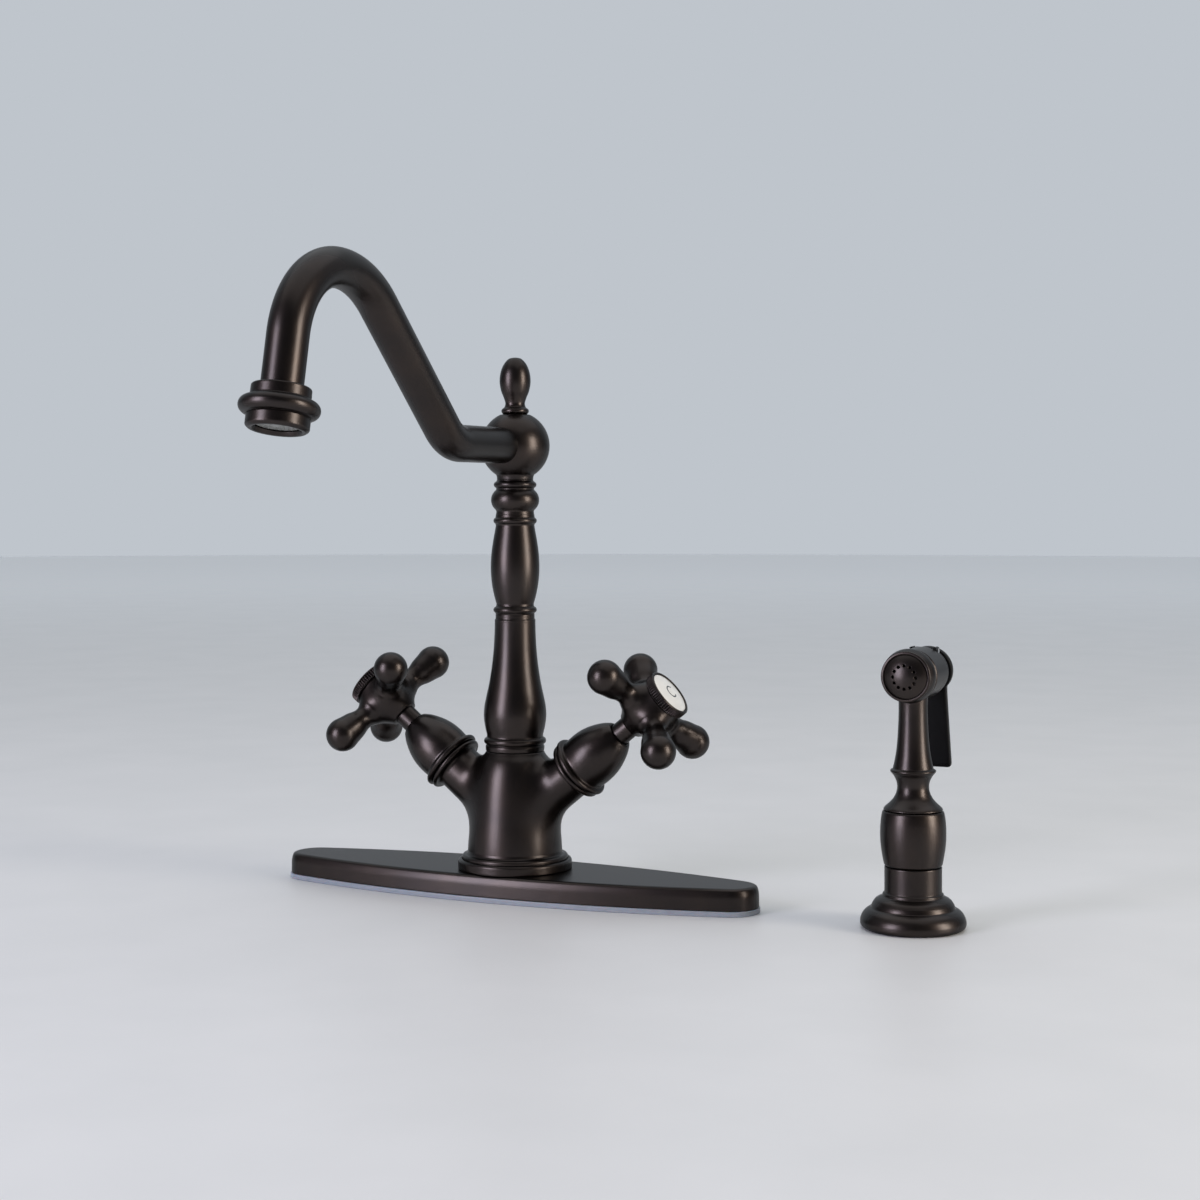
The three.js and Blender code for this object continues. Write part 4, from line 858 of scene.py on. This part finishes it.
lathe("hose_coupling_turned", "hose_coupling", brass, [
    (7.8, 6, 0.3), (8.2, 6.8, 0.3), *run(8.2, 8, 17, 0.3), (8.2, 18), (8.2, 28.1), (6.5, 28.1),
    (6.5, 38.1), (4, 38.1), (4, 6)],
    place=at_sprayer, ring=True, ripple=knurl(40, 0.5, 8, 17), around=240)
lathe("spray_grip_barrel", "spray_grip", bronze, [
    (6.8, 28.4), (12.6, 28.4, 0.2), (13.3, 29, 0.4),
    *through([(13.5, 30), (14.1, 33), (14.75, 37.5), (15.05, 42.5), (14.9, 47.5), (14.5, 51),
              (14.1, 52.9)]),
    (13.7, 53.6, 0.3), (9.3, 53.6), (9.3, 47), (4.6, 47), (4.6, 38.4), (6.8, 38.4)],
    place=at_sprayer, ring=True)
lathe("spray_neck_turned", "spray_neck", bronze, [
    (3, 47.3), (9, 47.3), (9, 53.9), (13.2, 53.9, 0.2), (13.6, 54.3, 0.3), (13.2, 55, 0.4),
    *through([(12.6, 55.6), (10.6, 57.4), (8.9, 59.4), (7.7, 61.9), (7.25, 64.4), (7.6, 66.9),
              (8.6, 69.2), (9.7, 70.6)]),
    *bow(9.7, 71.8, 0.75, -60, 80, 8), (9.2, 72.9, 0.3),
    *through([(9.1, 73.6), (8.4, 76.8), (7.7, 81), (7.15, 86.5), (6.8, 93), (6.6, 99), (6.65, 104),
              (6.9, 107.6)]),
    (4.4, 108.4), (3, 108.2)], place=at_sprayer, ring=True)

# --- Spray head ----------------------------------------------------------------------
# A bronze barrel lies across the top of the neck and holds the spray valve. A ring with a
# fine knurl at its front screws over it and clamps the domed spray face with its twelve jets.

# The head's frame has its +Z forwards, along -Y.
HEAD_HEIGHT = 115.7
on_head = placing(SPRAYER_X, 0, HEAD_HEIGHT, tilt=90)
keep(brass, "valve_plunger")
keep(stainless, "lever_pin")

# The valve's return spring is a helix: a circle of wire 1 mm thick, carried round five turns
# 4.2 mm from the axis while it climbs 14.4 mm. Its rear end goes with the valve's collar, and the
# front end stays at the seat, so it shortens from 15.4 mm by the valve's stroke of 1.5 mm.
SPRING_REAR, SPRING_RISE, SPRING_WIRE, SPRING_TURNS = -11.6, 14.4, 0.5, 5
climb = np.linspace(0, 1, 241)[:, None]
wound = 2 * np.pi * SPRING_TURNS * climb
round_wire = circle(12)[None]
coil_radius = 4.2 + SPRING_WIRE * np.cos(round_wire)
coil = spun(coil_radius, SPRING_REAR + SPRING_RISE * climb + SPRING_WIRE * np.sin(round_wire), wound)
spring = build("valve_return_spring", [skin(on_head(coil), ends="flat")], stainless, "valve_spring")
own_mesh(spring)
lathe("spray_barrel", "spray_head", bronze, [
    (11.3, -16.5, 0.2), (11.9, -15.9, 0.4), (11.9, 2.2, 0.3), (11.3, 2.7, 0.3), (11.3, 4.9, 0.3),
    (11.8, 5.4, 0.2), (11.6, 5.7), (9, 5.7), (9, 8.2), (7, 8.2), (7, 5.2), (3.3, 5.2), (3.3, 3.6),
    (7, 3.6), (7, -16.5)], place=on_head, ring=True, around=128)
lathe("spray_face_ring_knurled", "spray_face_ring", bronze, [
    (11.6, 5.9, 0.2), (12.4, 6.1, 0.3), (12.5, 7.4, 0.6), (12.1, 9.6, 1), (11.3, 11.7, 0.3),
    (10.9, 12, 0.1), *run(11.5, 12.2, 13, 0.15), (11.1, 13.2, 0.1), (10.5, 13.3, 0.2), (10.1, 13, 0.1),
    (10.1, 9.1), (10.1, 6)], place=on_head, ring=True, around=576, ripple=knurl(72, 0.5, 11.9, 13.3))

FACE_SPHERE, FACE_RADIUS, FACE_BASE = 16.2, 10, 12.9
face_radius = np.linspace(0, FACE_RADIUS, 100)[:, None]
face_height = (FACE_BASE + np.sqrt(FACE_SPHERE ** 2 - face_radius ** 2)
               - np.sqrt(FACE_SPHERE ** 2 - FACE_RADIUS ** 2))
face_front = pierced(spun(face_radius, face_height, disc_turn), jets([(12, 5.3)]), 0.68, -2.2)
skirt = np.array([(10, 12.6), (9.9, 9.2), (9.7, 8.8), (4, 8.8), (0, 8.8)])
face_back = spun(skirt[:, :1], skirt[:, 1:], disc_turn)
build("spray_face_dome", [skin(on_head(np.vstack([face_front, face_back])))], bronze, "spray_face")

# --- Rear cap and lever --------------------------------------------------------------
# Black plastic. The cap closes the barrel, with two lugs and a notch at its top for the
# hinge. The lever is a round pad over the valve's rod with a tongue that hangs behind the neck.


def notched(radius, height, turn):
    """The cap's outline by turn: 7.1 mm up to the floor of a notch 8.8 mm wide, a lug on each
    side of it up to 11.7 mm with its corner rounded at 13 mm, and the round cap elsewhere."""
    up = np.maximum(np.sin(turn), 0.05)
    across = np.abs(11.9 * np.cos(turn) / up)
    wide = np.abs(11.2 * np.cos(turn))
    top = np.sin(turn) > 0
    lug = top & (wide >= 4.4) & (across <= 6.9)
    notch = top & (wide < 4.4)
    outer = np.where(notch, 7.1 / up, np.where(lug, np.minimum(11.7 / up, 13), radius))
    return np.where(notch, np.minimum(radius, outer), np.where(lug & (radius > 10), outer, radius))


lathe("rear_cap_moulding", "spray_rear_cap", black_abs, [
    (0, -22), (10.4, -22, 0.6), (11.2, -21.2, 0.5), (11.2, -16.8), (6.7, -16.8), (6.7, -14.8),
    (0, -14.8)], place=on_head, around=288, ripple=notched)

# The lever's plate leans 9.8 degrees back from the vertical.
LEVER_BEHIND = 26.8
on_lever = placing(SPRAYER_X, LEVER_BEHIND, HEAD_HEIGHT, tilt=99.8)


def slab(outline, levels, place):
    """A closed outline at each (inset, height): every point moves in along the normal of the
    outline, which comes from the difference of its neighbours."""
    way = np.roll(outline, -1, axis=0) - np.roll(outline, 1, axis=0)
    inward = np.stack([-way[:, 1], way[:, 0]], axis=-1) / np.linalg.norm(way, axis=1, keepdims=True)
    rows = [np.column_stack([outline + inset * inward, np.full(len(outline), height)])
            for inset, height in levels]
    return skin(place(np.array(rows)), ends="flat")


PAD_RADIUS = 11.2
meet = np.degrees(np.arcsin(7.8 / PAD_RADIUS))
lever_outline = closed([(0, -47, 0.1), (8.5, -47, 1.6), *bow(0, 0, PAD_RADIUS, meet - 90, 270 - meet, 60),
                        (-8.5, -47, 1.6)])
edge = eased([(1.6, 0), (0, 0, 0.9), (0, -3.5, 0.9), (1.6, -3.5)])
PIN_BEHIND, PIN_HEIGHT = 19.8, 125.4


def across_hinge(points):
    """A placing for the lever's hinge block: its outline lies in the Y-Z plane about the pin."""
    x, y, z = np.moveaxis(points, -1, 0)
    return np.stack([SPRAYER_X + z, PIN_BEHIND + x, PIN_HEIGHT + y], axis=-1)


hinge_outline = closed([(7.6, -1.6, 0.3), (7.6, 1.2, 0.8), (0.4, 1.8, 0.8), *bow(0, 0, 1.9, 95, 262, 16),
                        (0.4, -2, 0.5)])
build("spray_lever_moulding", [
    slab(lever_outline, edge, on_lever),
    slab(hinge_outline, eased([(0.5, -4.1), (0, -4.1, 0.4), (0, 4.1, 0.4), (0.5, 4.1)]), across_hinge)],
    black_abs, "spray_lever")

# --- Studio --------------------------------------------------------------------------
# The worktop is a plain pale floor. Two tall softboxes stand to the left and the right, a cool
# one and a warm one, and a wide one hangs overhead.

FLOOR_RADIUS, FLOOR_LEVEL = 6, -0.00005
floor_mesh = bpy.data.meshes.new("worktop_floor")
rim = spun(FLOOR_RADIUS, FLOOR_LEVEL, circle(96))
floor_mesh.from_pydata(rim, [], [list(range(len(rim)))])
floor = bpy.data.objects.new("worktop_floor", floor_mesh)
bpy.context.scene.collection.objects.link(floor)

# White quartz: ground and polished stone, nearly even, with faint clouds. Far off it has painted light,
# a faint glow from 0.6 m to 4 m that stands in for lamplight, so that it meets the backdrop as a studio sweep
# does.
quartz, place = new_finish("white_quartz")
stone = mottled(quartz, place, 14, 6, "#dfe0e0", "#eaeaea")
far_off = add(quartz, "VectorMath", {0: place}, operation="LENGTH")
# Painted light: emission on the floor, nil up to 0.6 m and 0.3 at 4 m, standing in for lamplight out there.
painted_glow = add(quartz, "MapRange", {"Value": far_off.outputs["Value"], "From Min": 0.6, "From Max": 4,
                                "To Max": 0.3}, interpolation_type="SMOOTHSTEP")
show(quartz, {
    "Base Color": stone, "Roughness": 0.45, "IOR": 1.54, "Emission Color": linear("#c3c9d0"),
    "Emission Strength": painted_glow.outputs["Result"]})
floor_mesh.materials.append(quartz)


def softbox(name, spot, aim, width, height, power, colour):
    """A rectangular lamp at a spot, in metres, turned towards its aim."""
    lamp = bpy.data.lights.new(name, "AREA")
    lamp.shape = "RECTANGLE"
    lamp.size = width
    lamp.size_y = height
    lamp.energy = power
    lamp.color = linear(colour)[:3]
    holder = bpy.data.objects.new(name, lamp)
    bpy.context.scene.collection.objects.link(holder)
    holder.location = spot
    holder.rotation_euler = (Vector(aim) - Vector(spot)).to_track_quat("-Z", "Y").to_euler()


softbox("softbox_left", (-0.86, -1.58, 0.48), (0, 0, 0.2), 0.66, 1.1, 25, "#f0edff")
softbox("softbox_right", (1.85, -0.05, 0.48), (0, 0, 0.2), 0.6, 1.1, 24, "#fff6ea")
softbox("softbox_top", (0.1, 0.3, 2.2), (0.1, 0.3, 0), 3.4, 3.4, 20, "#ffffff")

# The backdrop and the ceiling are a pale blue-grey, and the walls grow darker round to the side
# that the camera stands on: the fourth power of a ramp over the way towards the backdrop.
world = bpy.data.worlds.new("studio")
bpy.context.scene.world = world
world.use_nodes = True
world.node_tree.nodes.clear()
way = add(world, "TexCoord").outputs["Generated"]
round_to = add(world, "VectorMath", {0: way, 1: (-0.407, 0.914, 0.8)}, operation="DOT_PRODUCT")
ramp = add(world, "MapRange", {"Value": round_to.outputs["Value"], "From Min": -0.6, "From Max": 0.92})
near = add(world, "Math", {0: ramp.outputs["Result"], 1: 4}, operation="POWER")
walls = add(world, "Mix", {"Factor": near.outputs[0], 6: linear("#484b50"), 7: linear("#bfc5cc")},
            data_type="RGBA")
add(world, "OutputWorld", {"Surface": add(world, "Background", {"Color": walls.outputs[2]}).outputs[0]})

# The camera is fitted to the photograph. It stands 1.03 m from the post, to the right of its front,
# and looks level, 24 degrees round to the left, with the picture shifted instead of tilted.
camera = bpy.data.cameras.new("camera")
camera.sensor_width = 36
camera.lens = 62.085
camera.shift_y = -0.0867
camera.clip_start = 0.01
holder = bpy.data.objects.new("camera", camera)
bpy.context.scene.collection.objects.link(holder)
holder.location = (0.4576, -0.9239, 0.1976)
holder.rotation_euler = (np.radians(90), 0, np.radians(24))
bpy.context.scene.camera = holder
bpy.context.scene.view_settings.view_transform = "Standard"
